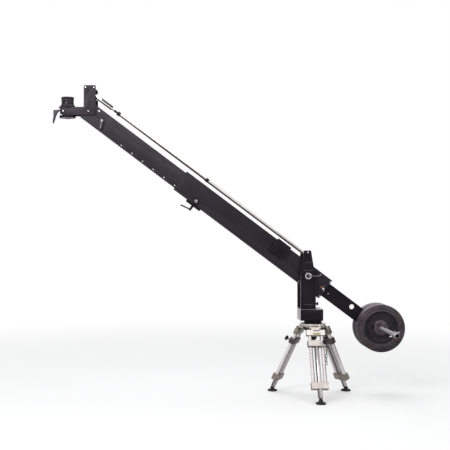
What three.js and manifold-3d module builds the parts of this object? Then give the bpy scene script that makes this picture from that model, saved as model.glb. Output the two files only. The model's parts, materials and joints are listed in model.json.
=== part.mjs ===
// A camera jib crane on a short three-legged stand, in millimetres, +Z up.
// The long box arm rises towards -X, and the counterweights sit at +X. A second, thin rod runs
// above the arm and keeps the camera head level, so tower, arm, rod and head form a parallelogram.

import * as THREE from 'three';
import { mergeVertices } from 'three/addons/utils/BufferGeometryUtils.js';
import Module from 'manifold-3d';

const wasm = await Module();
wasm.setup();

// Clearances and the fineness of round shapes
const GAP = 0.3;
const OVERRUN = 4;
const WELD = 0.0001;
const ROUND_SIDES = 36;
const SMALL_SIDES = 20;
const PAD_SIDES = 24;
const LINK_SIDES = 6;
const LINK_STEPS = 12;
const CORNER_STEPS = 3;

// The pose that the crane stands in, in degrees
const ARM_TILT = 36.95;
const LEG_SPLAY = 25.6;

// Stand: bowl and ring
const RING_RADIUS = 81;
const RING_HEIGHT = 13;
const BALL_RADIUS = 60;
const BOWL_WALL = 7.7;
const BOWL_OUTLET = 12;
const BALL_STEPS = 9;
const HINGE_RADIUS = 79;
const HINGE_DROP = 11.5;
const HINGE_PIN_RADIUS = 5;
const LUG_RADIUS = 9;
const LUG_THICKNESS = 8;
const LUG_ROOT = 55;
const TONGUE_HALF_WIDTH = 25;
const TONGUE_RADIUS = 10;

// Stand: legs, measured down the leg from its hinge
const LEG_REACH = 461.5;
const SHOULDER_TOP = 13;
const SHOULDER_BOTTOM = 50;
const SHOULDER_WIDTH = 116;
const SHOULDER_THICKNESS = 28;
const SHOULDER_WAIST = 9;
const TUBE_SPACING = 74;
const TUBE_RADIUS = 11.5;
const TUBE_WALL = 2;
const SOCKET_DEPTH = 25;
const COLLAR_TOP = 82;
const COLLAR_BOTTOM = 122;
const COLLAR_WIDTH = 106;
const COLLAR_THICKNESS = 36;
const CROSSHEAD_TOP = 350;
const CROSSHEAD_BOTTOM = 392;
const CROSSHEAD_WIDTH = 104;
const CROSSHEAD_THICKNESS = 40;
const INNER_LEG_TOP = 96;
const INNER_LEG_RADIUS = 15;
const INNER_LEG_WALL = 2.5;
const FOOT_RADIUS = 31;
const FOOT_HEIGHT = 12;
const FOOT_BALL_RADIUS = 14;
const FOOT_BALL_HEIGHT = 20;

// Stand: leg knobs, chain and the knob that clamps the levelling ball
const LEG_KNOB_DROP = 102;
const LEG_KNOB_SIDE = 48;
const LEG_KNOB_RADIUS = 16;
const LEG_KNOB_DEPTH = 14;
const LEG_KNOB_STEM = 12;
const LEG_STEM_RADIUS = 5;
const CHAIN_LINKS = 5;
const CHAIN_WIRE = 2;
const CHAIN_RING_RADIUS = 10;
const CHAIN_LINK_RADIUS = 5.5;
const CHAIN_LINK_STRAIGHT = 14;
const CHAIN_HOLD = 0.8;
const PEG_RADIUS = 4;
const PEG_HEAD_RADIUS = 6;
const PEG_START = 53;
const PEG_LENGTH = 18;
const PEG_DROP = 112;
const TIE_ROD_RADIUS = 6;
const TIE_KNOB_RADIUS = 26;
const TIE_KNOB_HEIGHT = 40;
const TIE_ROD_REACH = 44;
const TIE_TAPER_SHARE = 0.6;

// Pan bearing, base block and tower, measured from the main pivot where a height is given
const NECK_RADIUS = 55.5;
const NECK_HEIGHT = 21.5;
const BLOCK_SIZE = 143;
const BLOCK_HEIGHT = 72.5;
const BLOCK_SETBACK = 18;
const BLOCK_CORNER = 3;
const PIVOT_SETBACK = 42;
const PIVOT_HEIGHT = 211;
const TOWER_PLATE = 12.5;
const TOWER_FRONT = 47;
const TOWER_REAR = 49;
const TOWER_BEND_REAR = 36;
const TOWER_BEND_HEIGHT = 54;
const TOWER_TOP_FRONT = 25;
const TOWER_TOP_REAR = 19;
const TOWER_TOP = 161;
const TOWER_TOP_FAR = 147;
const TOWER_CORNER = 5;
const DOUBLER_THICKNESS = 2.5;
const DOUBLER_TOP = 89;
const CHEEK_THICKNESS = 3;
const CHEEK_TOP = 37;
const CHEEK_FRONT = 29;
const CHEEK_REAR = 33;
const CHEEK_RISE = 31;
const TOWER_FOOT_HEIGHT = 46;
const TOWER_FOOT_SETBACK = 20;
const AXLE_RADIUS = 12.5;
const AXLE_HEAD_RADIUS = 20;
const AXLE_HEAD_THICKNESS = 8;
const AXLE_NUT_RADIUS = 20;
const AXLE_NUT_THICKNESS = 14;
const TILT_HUB_RADIUS = 9;
const TILT_HUB_DEPTH = 10;
const TILT_LEVER_LENGTH = 74;
const TILT_LEVER_RADIUS = 2.8;
const PAN_KNOB_RISE = 32;
const PAN_KNOB_SIDE = 30;
const PAN_KNOB_RADIUS = 10;
const PAN_KNOB_DEPTH = 12;
const PAN_STEM_RADIUS = 4;
const PAN_STEM_LENGTH = 10;

// Arm: outer tube and what it holds, measured from the main pivot towards the head
const OUTER_HEIGHT = 141;
const OUTER_WIDTH = 80;
const OUTER_WALL = 5;
const OUTER_CORNER = 5;
const OUTER_REACH = 1010;
const OUTER_TAIL = 146;
const HUB_RADIUS = 28;
const PIVOT_BLOCK_LENGTH = 110;
const SOCKET_LENGTH = 78;
const TAIL_HEIGHT = 93;
const TAIL_THICKNESS = 18;
const TAIL_END_MARGIN = 62;
const TAIL_HOLE_REACH = 353;
const TAIL_HOLE_RISE = 14;
const TAIL_HOLE_RADIUS = 16;
const LINER_LENGTH = 60;
const CLAMP_SETBACK = 162;
const CLAMP_LENGTH = 108;
const CLAMP_HEIGHT = 13;
const CLAMP_WIDTH = 60;
const CLAMP_STEM_RADIUS = 8;
const CLAMP_STEM_LENGTH = 33;
const CLAMP_LEVER_LENGTH = 66;
const CLAMP_LEVER_DROP = 14;
const CLAMP_LEVER_RADIUS = 4.5;
const INDEX_PITCH = 85;
const INDEX_DROP = 48;
const INDEX_SETBACK = 161;
const INDEX_HOLES = 8;
const INDEX_PIN_RADIUS = 4;
const PLUNGER_BASE_LENGTH = 22;
const PLUNGER_BASE_HEIGHT = 40;
const PLUNGER_BASE_DEPTH = 8;
const PLUNGER_KNOB_RADIUS = 11;
const PLUNGER_KNOB_DEPTH = 18;
const PLUNGER_TRAVEL = 9;
const BOX_LENGTH = 102;
const BOX_HEIGHT = 92;
const BOX_DEPTH = 24;
const BOX_REACH = 240;
const BOX_RISE = 33;
const BOX_CORNER = 4;

// Arm: inner tube
const INNER_HEIGHT = 120;
const INNER_WIDTH = 60;
const INNER_WALL = 4;
const INNER_CORNER = 4;
const ARM_LENGTH = 1740.5;
const INNER_START = 582;
const INNER_NOSE = 25;
const SHOE_LENGTH = 34;
const END_BLOCK_LENGTH = 66;
const LOCK_SETBACK = 105;
const LOCK_RISE = 3;
const LOCK_HUB_RADIUS = 8.5;
const LOCK_HUB_DEPTH = 9;
const LOCK_LEVER_LENGTH = 50;
const LOCK_LEVER_RADIUS = 4;
const LOCK_LEVER_ANGLE = 65;

// Levelling rods above the arm, measured from their own pivots
const ROD_SPACING = 130;
const ROD_PIN_RADIUS = 6;
const REAR_ROD_RADIUS = 11;
const REAR_ROD_BORE = 9.6;
const REAR_ROD_LENGTH = 808;
const REAR_ROD_BORE_START = 30;
const REAR_EYE_RADIUS = 15;
const REAR_EYE_WIDTH = 24;
const ROD_SPACER_RADIUS = 9;
const FRONT_ROD_RADIUS = 9;
const FRONT_ROD_BORE = 7.2;
const FRONT_ROD_PLUG = 20;
const FRONT_STUD_RADIUS = 5;
const FRONT_ROD_START = 555;
const FRONT_EYE_RADIUS = 12;
const FRONT_EYE_WIDTH = 20;
const FRONT_FORK_RADIUS = 11;
const FRONT_FORK_LENGTH = 186;
const ROD_CLAMP_RADIUS = 12.5;
const ROD_CLAMP_LENGTH = 24;
const ROD_KNOB_RADIUS = 11.5;
const ROD_KNOB_HEIGHT = 16;
const ROD_KNOB_STEM = 3;
const ADJUSTER_SETBACK = 228.5;
const ADJUSTER_LENGTH = 22;
const ADJUSTER_RADIUS = 13.5;
const LOCKNUT_REACH = 24;
const LOCKNUT_LENGTH = 11;
const LOCKNUT_RADIUS = 8;
const LOCKNUT_SLEEVE_RADIUS = 6.6;

// Head, measured from the head pivot
const HEAD_PLATE = 6;
const HEAD_GAP_HALF = 32;
const HEAD_REAR = 47;
const HEAD_FRONT = 165;
const HEAD_BOTTOM = 25;
const HEAD_SHELF = 27;
const HEAD_MAST_FRONT = 30;
const HEAD_MAST_TOP = 165;
const HEAD_CORNER = 9;
const HEAD_INNER_CORNER = 5;
const FAR_REAR = 56;
const FAR_STEP_HEIGHT = 78;
const FAR_MAST_REAR = 37;
const FAR_BOSS_RADIUS = 19;
const HEAD_PIN_RADIUS = 8;
const HEAD_PIN_HEAD_RADIUS = 11;
const HEAD_PIN_HEAD_DEPTH = 5;
const SPACER_FRONT = 18.5;
const SPACER_HEIGHT = 153;
const SPACER_RADIUS = 7;
const MOUNT_REACH = 136;
const MOUNT_BORE = 18;
const MOUNT_RADIUS = 49;
const MOUNT_FOOT = 14;
const MOUNT_TOP = 42;
const MOUNT_BEVEL = 8;
const MOUNT_LUG_LENGTH = 8;
const MOUNT_LUG_HEIGHT = 9;
const MOUNT_LUG_RISE = 22;
const NUT_RADIUS = 41.5;
const NUT_WAIST_RADIUS = 39.5;
const NUT_HEIGHT = 50;
const NUT_EDGE = 4;
const DISC_RADIUS = 52.5;
const DISC_BOTTOM = 41;
const DISC_EDGE = 3;
const DISC_BOSS_RADIUS = 29;
const LEVER_RISE = 6;
const LEVER_HUB_RADIUS = 7;
const LEVER_HUB_LENGTH = 43;
const LEVER_DROP = 79;
const LEVER_TOP_WIDTH = 28;
const LEVER_TIP_WIDTH = 10;
const LEVER_LEAN = 8;
const LEVER_THICKNESS = 12;

// Counterweights
const WEIGHT_REACH = 568;
const WEIGHT_RISE = 12.5;
const BAR_RADIUS = 14;
const BAR_LENGTH = 875;
const WEIGHT_RADIUS = 151;
const WEIGHT_THICKNESS = 70;
const WEIGHT_BORE = 14.8;
const WEIGHT_HUB_RADIUS = 46.5;
const WEIGHT_WEB_START = 52;
const WEIGHT_WEB_END = 116;
const WEIGHT_RECESS = 26;
const WEIGHT_EDGE = 6;
const COLLAR_MARGIN = 65.5;
const COLLAR_RING_WIDTH = 14;
const COLLAR_RING_RADIUS = 20;
const COLLAR_LUG_LENGTH = 13;
const COLLAR_LUG_RADIUS = 4.5;
const COLLAR_TURN = 64;

// Places that follow from the sizes above
const LEG_NAMES = ['front', 'left', 'right'];
const HINGE_HEIGHT = FOOT_BALL_HEIGHT + LEG_REACH * Math.cos(radians(LEG_SPLAY));
const RING_BOTTOM = HINGE_HEIGHT + HINGE_DROP;
const RING_TOP = RING_BOTTOM + RING_HEIGHT;
const PAN_HEIGHT = RING_TOP + NECK_HEIGHT + GAP;
const BLOCK_TOP = BLOCK_HEIGHT;
const PIVOT_RISE = BLOCK_TOP + PIVOT_HEIGHT;
const TOWER_BOTTOM = GAP - PIVOT_HEIGHT;
const TOWER_INNER = BLOCK_SIZE / 2 - TOWER_PLATE;
const TOWER_OUTER = BLOCK_SIZE / 2;
const CHEEK_OUTER = TOWER_OUTER + DOUBLER_THICKNESS + CHEEK_THICKNESS;
const BOWL_RADIUS = BALL_RADIUS + GAP;
const HEAD_OUTER = HEAD_GAP_HALF + HEAD_PLATE;
const CLAMP_REACH = OUTER_REACH - CLAMP_SETBACK;
const INDEX_REACH = OUTER_REACH - INDEX_SETBACK;
const LOCK_REACH = ARM_LENGTH - LOCK_SETBACK;
const COLLAR_PLACE = BAR_LENGTH / 2 - COLLAR_MARGIN;

function radians(degrees) {
  return THREE.MathUtils.degToRad(degrees);
}

function finish(color, roughness, metalness) {
  return new THREE.MeshStandardMaterial({ color, roughness, metalness });
}

const BLACK_PAINT = finish(0x222126, 0.45, 0.2);
const BLACK_PLASTIC = finish(0x18171a, 0.5, 0);
const BRIGHT_STEEL = finish(0xcfcfd2, 0.25, 1);
const DARK_STEEL = finish(0x55504e, 0.4, 0.9);
const SILVER_TUBE = finish(0xc9c2bd, 0.35, 0.9);
const CASTING = finish(0x8a7f6b, 0.5, 0.6);
const COLLAR_CASTING = finish(0x4f453f, 0.5, 0.6);
const RUBBER = finish(0x1c1b1a, 0.8, 0);
const CAST_IRON = finish(0x4b4543, 0.7, 0.5);
const NYLON = finish(0xd8d4c8, 0.6, 0);

// A closed mesh as a solid, turned the right way out
function solidOf(shape) {
  if (!shape.isBufferGeometry) return shape;
  const bare = shape.clone();
  bare.deleteAttribute('normal');
  bare.deleteAttribute('uv');
  const merged = mergeVertices(bare, WELD);
  const points = Float32Array.from(merged.attributes.position.array);
  const triangles = Uint32Array.from(merged.index.array);
  if (signedVolume(points, triangles) < 0) triangles.reverse();
  return new wasm.Manifold(new wasm.Mesh({ numProp: 3, vertProperties: points, triVerts: triangles }));
}

function signedVolume(points, triangles) {
  const corner = [new THREE.Vector3(), new THREE.Vector3(), new THREE.Vector3()];
  let total = 0;
  for (let i = 0; i < triangles.length; i += 3) {
    corner.forEach((point, k) => point.fromArray(points, 3 * triangles[i + k]));
    total += corner[0].dot(corner[1].cross(corner[2]));
  }
  return total;
}

function join(first, ...others) {
  return others.reduce((body, other) => body.add(solidOf(other)), solidOf(first));
}

function cut(first, ...others) {
  return others.reduce((body, other) => body.subtract(solidOf(other)), solidOf(first));
}

// A named mesh of one closed body, put into a group
function addPiece(group, name, shape, material) {
  const data = solidOf(shape).getMesh();
  const geometry = new THREE.BufferGeometry();
  geometry.setAttribute('position', new THREE.BufferAttribute(Float32Array.from(data.vertProperties), 3));
  geometry.setIndex(new THREE.BufferAttribute(Uint32Array.from(data.triVerts), 1));
  geometry.computeVertexNormals();
  const mesh = new THREE.Mesh(geometry, material);
  mesh.name = name;
  group.add(mesh);
  return mesh;
}

function addGroup(parent, x, y, z) {
  const group = new THREE.Group();
  group.position.set(x, y, z);
  parent.add(group);
  return group;
}

// A box between two corners
function block(x0, x1, y0, y1, z0, z1) {
  const box = new THREE.BoxGeometry(x1 - x0, y1 - y0, z1 - z0);
  return box.translate((x0 + x1) / 2, (y0 + y1) / 2, (z0 + z1) / 2);
}

// Round bars along each axis, through x, y and z
function barX(radius, x0, x1, y = 0, z = 0, sides = SMALL_SIDES) {
  const bar = new THREE.CylinderGeometry(radius, radius, x1 - x0, sides);
  return bar.rotateZ(Math.PI / 2).translate((x0 + x1) / 2, y, z);
}

function barY(radius, y0, y1, x = 0, z = 0, sides = SMALL_SIDES) {
  const bar = new THREE.CylinderGeometry(radius, radius, y1 - y0, sides);
  return bar.translate(x, (y0 + y1) / 2, z);
}

function barZ(radius, z0, z1, x = 0, y = 0, sides = SMALL_SIDES) {
  const bar = new THREE.CylinderGeometry(radius, radius, z1 - z0, sides);
  return bar.rotateX(Math.PI / 2).translate(x, y, (z0 + z1) / 2);
}

// A turned shape about Z from [radius, height] points
function turnedZ(profile, sides = ROUND_SIDES) {
  const points = profile.map(([radius, height]) => new THREE.Vector2(radius, height));
  return new THREE.LatheGeometry(points, sides).rotateX(Math.PI / 2);
}

// An outline of [x, z, corner radius] points
function outline(points) {
  const shape = new THREE.Shape();
  const at = (index) => new THREE.Vector2(...points[(index + points.length) % points.length]);
  points.forEach(([x, z, radius = 0], index) => {
    const corner = new THREE.Vector2(x, z);
    const before = at(index - 1).sub(corner).setLength(radius).add(corner);
    const after = at(index + 1).sub(corner).setLength(radius).add(corner);
    if (index === 0) shape.moveTo(before.x, before.y);
    else shape.lineTo(before.x, before.y);
    if (radius > 0) shape.quadraticCurveTo(x, z, after.x, after.y);
  });
  shape.closePath();
  return shape;
}

// A plate of an XZ outline between two Y places
function plateY(shape, y0, y1) {
  const options = { depth: y1 - y0, bevelEnabled: false, curveSegments: CORNER_STEPS };
  return new THREE.ExtrudeGeometry(shape, options).rotateX(Math.PI / 2).translate(0, y1, 0);
}

// A bar along X of a rectangle with round edges, tall along Z and wide along Y
function roundedBarX(height, width, corner, x0, x1) {
  const [h, w] = [height / 2, width / 2];
  const shape = outline([[-h, -w, corner], [h, -w, corner], [h, w, corner], [-h, w, corner]]);
  const options = { depth: x1 - x0, bevelEnabled: false, curveSegments: CORNER_STEPS };
  return new THREE.ExtrudeGeometry(shape, options).rotateY(Math.PI / 2).translate(x0, 0, 0);
}

const crane = new THREE.Group();

// Points down a ball's side from its rim to a given radius, as [radius, height] about the ring's top
function ballProfile(radius, until) {
  const points = [];
  for (let i = BALL_STEPS; i > 0; i -= 1) {
    const angle = i * Math.PI / 2 / BALL_STEPS;
    const reach = radius * Math.sin(angle);
    if (reach > until + WELD) points.push([reach, RING_TOP - radius * Math.cos(angle)]);
  }
  points.push([until, RING_TOP - Math.sqrt(radius * radius - until * until)]);
  return points;
}

// The bowl casting, with a pair of lugs and a hinge pin for each leg
function makeBowl() {
  const inside = ballProfile(BOWL_RADIUS, BOWL_OUTLET);
  const outside = ballProfile(BOWL_RADIUS + BOWL_WALL, BOWL_OUTLET)
    .filter(([, height]) => height < RING_BOTTOM);
  const wallTop = Math.sqrt((BOWL_RADIUS + BOWL_WALL) ** 2 - RING_HEIGHT ** 2);
  const profile = [...inside, ...outside.reverse(), [wallTop, RING_BOTTOM], [RING_RADIUS, RING_BOTTOM],
    [RING_RADIUS, RING_TOP], inside[0]];
  let casting = solidOf(turnedZ(profile));
  const inner = TONGUE_HALF_WIDTH + GAP;
  LEG_NAMES.forEach((name, index) => {
    const turn = legTurn(index);
    [-1, 1].forEach((side) => {
      const [low, high] = [side * inner, side * (inner + LUG_THICKNESS)].sort((a, b) => a - b);
      const lug = block(low, high, -HINGE_RADIUS, -LUG_ROOT, HINGE_HEIGHT - LUG_RADIUS,
        RING_BOTTOM + RING_HEIGHT / 2);
      const eye = barX(LUG_RADIUS, low, high, -HINGE_RADIUS, HINGE_HEIGHT);
      casting = join(casting, lug.rotateZ(turn), eye.rotateZ(turn));
    });
    const pinHalf = inner + LUG_THICKNESS / 2;
    const pin = barX(HINGE_PIN_RADIUS, -pinHalf, pinHalf, -HINGE_RADIUS, HINGE_HEIGHT);
    casting = join(casting, pin.rotateZ(turn));
  });
  addPiece(crane, 'bowl_casting', casting, SILVER_TUBE);
}

function legTurn(index) {
  return [0, -1, 1][index] * Math.PI * 2 / LEG_NAMES.length;
}

// One leg in its own frame: the hinge at the origin, the leg down -Z and its outer face at -Y
function makeLeg(name, index) {
  const base = addGroup(crane, 0, 0, 0);
  base.rotation.z = legTurn(index);
  const leg = addGroup(base, 0, -HINGE_RADIUS, HINGE_HEIGHT);
  leg.rotation.x = -radians(LEG_SPLAY);
  const tubeX = TUBE_SPACING / 2;
  const boreRadius = TUBE_RADIUS + GAP;
  const socketTop = SHOULDER_BOTTOM - SOCKET_DEPTH;

  const tongue = barX(TONGUE_RADIUS, -TONGUE_HALF_WIDTH, TONGUE_HALF_WIDTH);
  const waist = block(-TONGUE_HALF_WIDTH, TONGUE_HALF_WIDTH, -SHOULDER_WAIST, SHOULDER_WAIST,
    -SHOULDER_TOP - OVERRUN, 0);
  const wide = roundedBarX(SHOULDER_BOTTOM - SHOULDER_TOP, SHOULDER_THICKNESS, BLOCK_CORNER,
    -SHOULDER_WIDTH / 2, SHOULDER_WIDTH / 2).translate(0, 0, -(SHOULDER_TOP + SHOULDER_BOTTOM) / 2);
  const pinBore = barX(HINGE_PIN_RADIUS + GAP, -SHOULDER_WIDTH, SHOULDER_WIDTH);
  const sockets = [-tubeX, tubeX].map((x) => barZ(boreRadius, -SHOULDER_BOTTOM - OVERRUN, -socketTop, x));
  addPiece(leg, `leg_${name}_shoulder`, cut(join(tongue, waist, wide), pinBore, ...sockets), CASTING);

  const crosshead = roundedBarX(CROSSHEAD_BOTTOM - CROSSHEAD_TOP, CROSSHEAD_THICKNESS, BLOCK_CORNER,
    -CROSSHEAD_WIDTH / 2, CROSSHEAD_WIDTH / 2).translate(0, 0, -(CROSSHEAD_TOP + CROSSHEAD_BOTTOM) / 2);
  const tubeEnd = -CROSSHEAD_BOTTOM + TUBE_RADIUS;
  const tubes = [-tubeX, tubeX].map((x) => barZ(TUBE_RADIUS, tubeEnd, -socketTop - GAP, x));
  const tubeBore = TUBE_RADIUS - TUBE_WALL;
  const hollows = [-tubeX, tubeX].map((x) => barZ(tubeBore, -CROSSHEAD_TOP, OVERRUN, x));
  const slideBore = barZ(INNER_LEG_RADIUS + GAP, -CROSSHEAD_BOTTOM - OVERRUN, -CROSSHEAD_TOP + OVERRUN);
  addPiece(leg, `leg_${name}_tubes`, cut(join(crosshead, ...tubes), ...hollows, slideBore), SILVER_TUBE);

  const collar = roundedBarX(COLLAR_BOTTOM - COLLAR_TOP, COLLAR_THICKNESS, BLOCK_CORNER,
    -COLLAR_WIDTH / 2, COLLAR_WIDTH / 2).translate(0, 0, -(COLLAR_TOP + COLLAR_BOTTOM) / 2);
  const [below, above] = [-COLLAR_BOTTOM - OVERRUN, -COLLAR_TOP + OVERRUN];
  const bores = [-tubeX, tubeX].map((x) => barZ(boreRadius, below, above, x));
  const middle = barZ(INNER_LEG_RADIUS + GAP, below, above);
  const peg = barX(PEG_RADIUS, PEG_START - OVERRUN, PEG_START + PEG_LENGTH, 0, -PEG_DROP);
  const pegEnd = PEG_START + PEG_LENGTH;
  const pegHead = barX(PEG_HEAD_RADIUS, pegEnd - PEG_RADIUS, pegEnd, 0, -PEG_DROP);
  const solid = index === 0 ? join(collar, peg, pegHead) : collar;
  addPiece(leg, `leg_${name}_collar`, cut(solid, ...bores, middle), COLLAR_CASTING);

  const ballEnd = LEG_REACH - FOOT_BALL_RADIUS - GAP;
  const innerLeg = barZ(INNER_LEG_RADIUS, -ballEnd, -INNER_LEG_TOP);
  const innerHollow = barZ(INNER_LEG_RADIUS - INNER_LEG_WALL, -ballEnd + INNER_LEG_RADIUS, 0);
  addPiece(leg, `leg_${name}_inner`, cut(innerLeg, innerHollow), SILVER_TUBE);

  const ankle = addGroup(leg, 0, 0, -LEG_REACH);
  ankle.rotation.x = radians(LEG_SPLAY);
  const ball = new THREE.SphereGeometry(FOOT_BALL_RADIUS, LINK_STEPS, LINK_SIDES);
  const padTop = FOOT_HEIGHT - FOOT_BALL_HEIGHT;
  const pad = turnedZ([[0, -FOOT_BALL_HEIGHT], [FOOT_RADIUS, -FOOT_BALL_HEIGHT],
    [FOOT_RADIUS, padTop - FOOT_HEIGHT / 2], [FOOT_RADIUS - FOOT_HEIGHT / 2, padTop],
    [0, padTop]], PAD_SIDES);
  addPiece(ankle, `leg_${name}_foot`, join(ball, pad), RUBBER);

  const face = COLLAR_THICKNESS / 2 + GAP;
  const knobBack = -face - LEG_KNOB_STEM;
  const stem = barY(LEG_STEM_RADIUS, knobBack - LEG_KNOB_DEPTH / 2, -face, 0, 0);
  const grip = barY(LEG_KNOB_RADIUS, knobBack - LEG_KNOB_DEPTH, knobBack, 0, 0, ROUND_SIDES);
  const bossEnd = knobBack - LEG_KNOB_DEPTH - LEG_KNOB_STEM / 2;
  const boss = barY(LEG_KNOB_RADIUS / 2, bossEnd, knobBack - LEG_KNOB_STEM / 2);
  const knob = addGroup(leg, LEG_KNOB_SIDE, 0, -LEG_KNOB_DROP);
  addPiece(knob, `leg_${name}_knob`, join(stem, grip, boss), BLACK_PLASTIC);
  if (index === 0) makeChain(leg);
}

// One chain link in the XZ plane, with its centre at a height
function chainLink(radius, straight, height, turned) {
  const link = new THREE.TorusGeometry(radius, CHAIN_WIRE, LINK_SIDES, LINK_STEPS);
  const position = link.attributes.position;
  for (let i = 0; i < position.count; i += 1) {
    const y = position.getY(i);
    const shift = Math.abs(y) < CHAIN_WIRE / 2 ? 0 : Math.sign(y) * straight / 2;
    position.setY(i, y + shift);
  }
  link.rotateX(Math.PI / 2);
  if (turned) link.rotateZ(Math.PI / 2);
  return link.translate(0, 0, height);
}

// The chain hangs from a ring on the front collar's side peg
function makeChain(leg) {
  const ringDrop = CHAIN_RING_RADIUS - CHAIN_WIRE - PEG_RADIUS - GAP;
  const hang = addGroup(leg, PEG_START + PEG_LENGTH / 2, 0, -PEG_DROP);
  hang.rotation.x = radians(LEG_SPLAY);
  const inside = CHAIN_LINK_STRAIGHT + 2 * (CHAIN_LINK_RADIUS - CHAIN_WIRE);
  let chain = solidOf(chainLink(CHAIN_RING_RADIUS, 0, -ringDrop, true));
  let height = -ringDrop - CHAIN_RING_RADIUS + CHAIN_WIRE - CHAIN_HOLD - inside / 2;
  for (let i = 0; i < CHAIN_LINKS; i += 1) {
    chain = join(chain, chainLink(CHAIN_LINK_RADIUS, CHAIN_LINK_STRAIGHT, height, i % 2 === 1));
    height -= inside + CHAIN_HOLD;
  }
  addPiece(hang, 'stand_chain', chain, BRIGHT_STEEL);
}

// The levelling ball with its neck, and the knob that clamps it from below
function makeSpigot() {
  const neckTop = RING_TOP + NECK_HEIGHT;
  const rodBottom = RING_TOP - BOWL_RADIUS - BOWL_WALL - TIE_ROD_REACH;
  const profile = [[0, neckTop], [NECK_RADIUS, neckTop], [NECK_RADIUS, RING_TOP],
    ...ballProfile(BALL_RADIUS, TIE_ROD_RADIUS), [TIE_ROD_RADIUS, rodBottom], [0, rodBottom]];
  addPiece(crane, 'pan_spigot', turnedZ(profile), BLACK_PAINT);

  const top = RING_TOP - BOWL_RADIUS - BOWL_WALL - GAP;
  const bottom = top - TIE_KNOB_HEIGHT;
  const bore = TIE_ROD_RADIUS + GAP;
  const taper = TIE_KNOB_RADIUS * TIE_TAPER_SHARE;
  const knob = turnedZ([[bore, bottom], [taper, bottom], [TIE_KNOB_RADIUS, (top + bottom) / 2],
    [TIE_KNOB_RADIUS, top - TIE_KNOB_HEIGHT / 4], [taper, top], [bore, top], [bore, bottom]], SMALL_SIDES);
  addPiece(crane, 'ball_clamp_knob', knob, BLACK_PLASTIC);
}

const pan = addGroup(crane, 0, 0, PAN_HEIGHT);
const tower = addGroup(pan, -PIVOT_SETBACK, 0, PIVOT_RISE);

function makeBaseBlock() {
  const half = BLOCK_SIZE / 2;
  const body = roundedBarX(BLOCK_HEIGHT, BLOCK_SIZE, BLOCK_CORNER, -half, half);
  addPiece(pan, 'base_block', body.translate(-BLOCK_SETBACK, 0, BLOCK_HEIGHT / 2), BLACK_PAINT);
}

// One side plate of the tower, with two raised layers outside; side is -1 near and 1 far
function makeTowerPlate(name, side, top) {
  const shape = outline([[-TOWER_FRONT, TOWER_BOTTOM], [TOWER_REAR, TOWER_BOTTOM], [TOWER_REAR, 0],
    [TOWER_BEND_REAR, TOWER_BEND_HEIGHT], [TOWER_TOP_REAR, top, TOWER_CORNER],
    [-TOWER_TOP_FRONT, top, TOWER_CORNER], [-TOWER_FRONT, 0]]);
  const layer = (from, to, thickness) => [side * from, side * (from + thickness + to)]
    .sort((a, b) => a - b);
  const plate = plateY(shape, ...layer(TOWER_INNER, 0, TOWER_PLATE));
  const [d0, d1] = layer(TOWER_OUTER - OVERRUN, OVERRUN, DOUBLER_THICKNESS);
  const doubler = block(-CHEEK_FRONT, CHEEK_REAR, d0, d1, CHEEK_RISE - PIVOT_HEIGHT, CHEEK_TOP);
  const upper = block(-TOWER_TOP_FRONT, CHEEK_REAR - TOWER_CORNER * 2, d0, d1, CHEEK_TOP, DOUBLER_TOP);
  const [c0, c1] = layer(TOWER_OUTER - OVERRUN, OVERRUN, DOUBLER_THICKNESS + CHEEK_THICKNESS);
  const cheek = block(-CHEEK_FRONT, CHEEK_REAR, c0, c1, CHEEK_RISE - PIVOT_HEIGHT, CHEEK_TOP);
  const [b0, b1] = [-CHEEK_OUTER - OVERRUN, CHEEK_OUTER + OVERRUN];
  const bores = [barY(AXLE_RADIUS + GAP, b0, b1), barY(ROD_PIN_RADIUS + GAP, b0, b1, 0, ROD_SPACING)];
  addPiece(tower, name, cut(join(plate, doubler, upper, cheek), ...bores), BLACK_PAINT);
}

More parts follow.
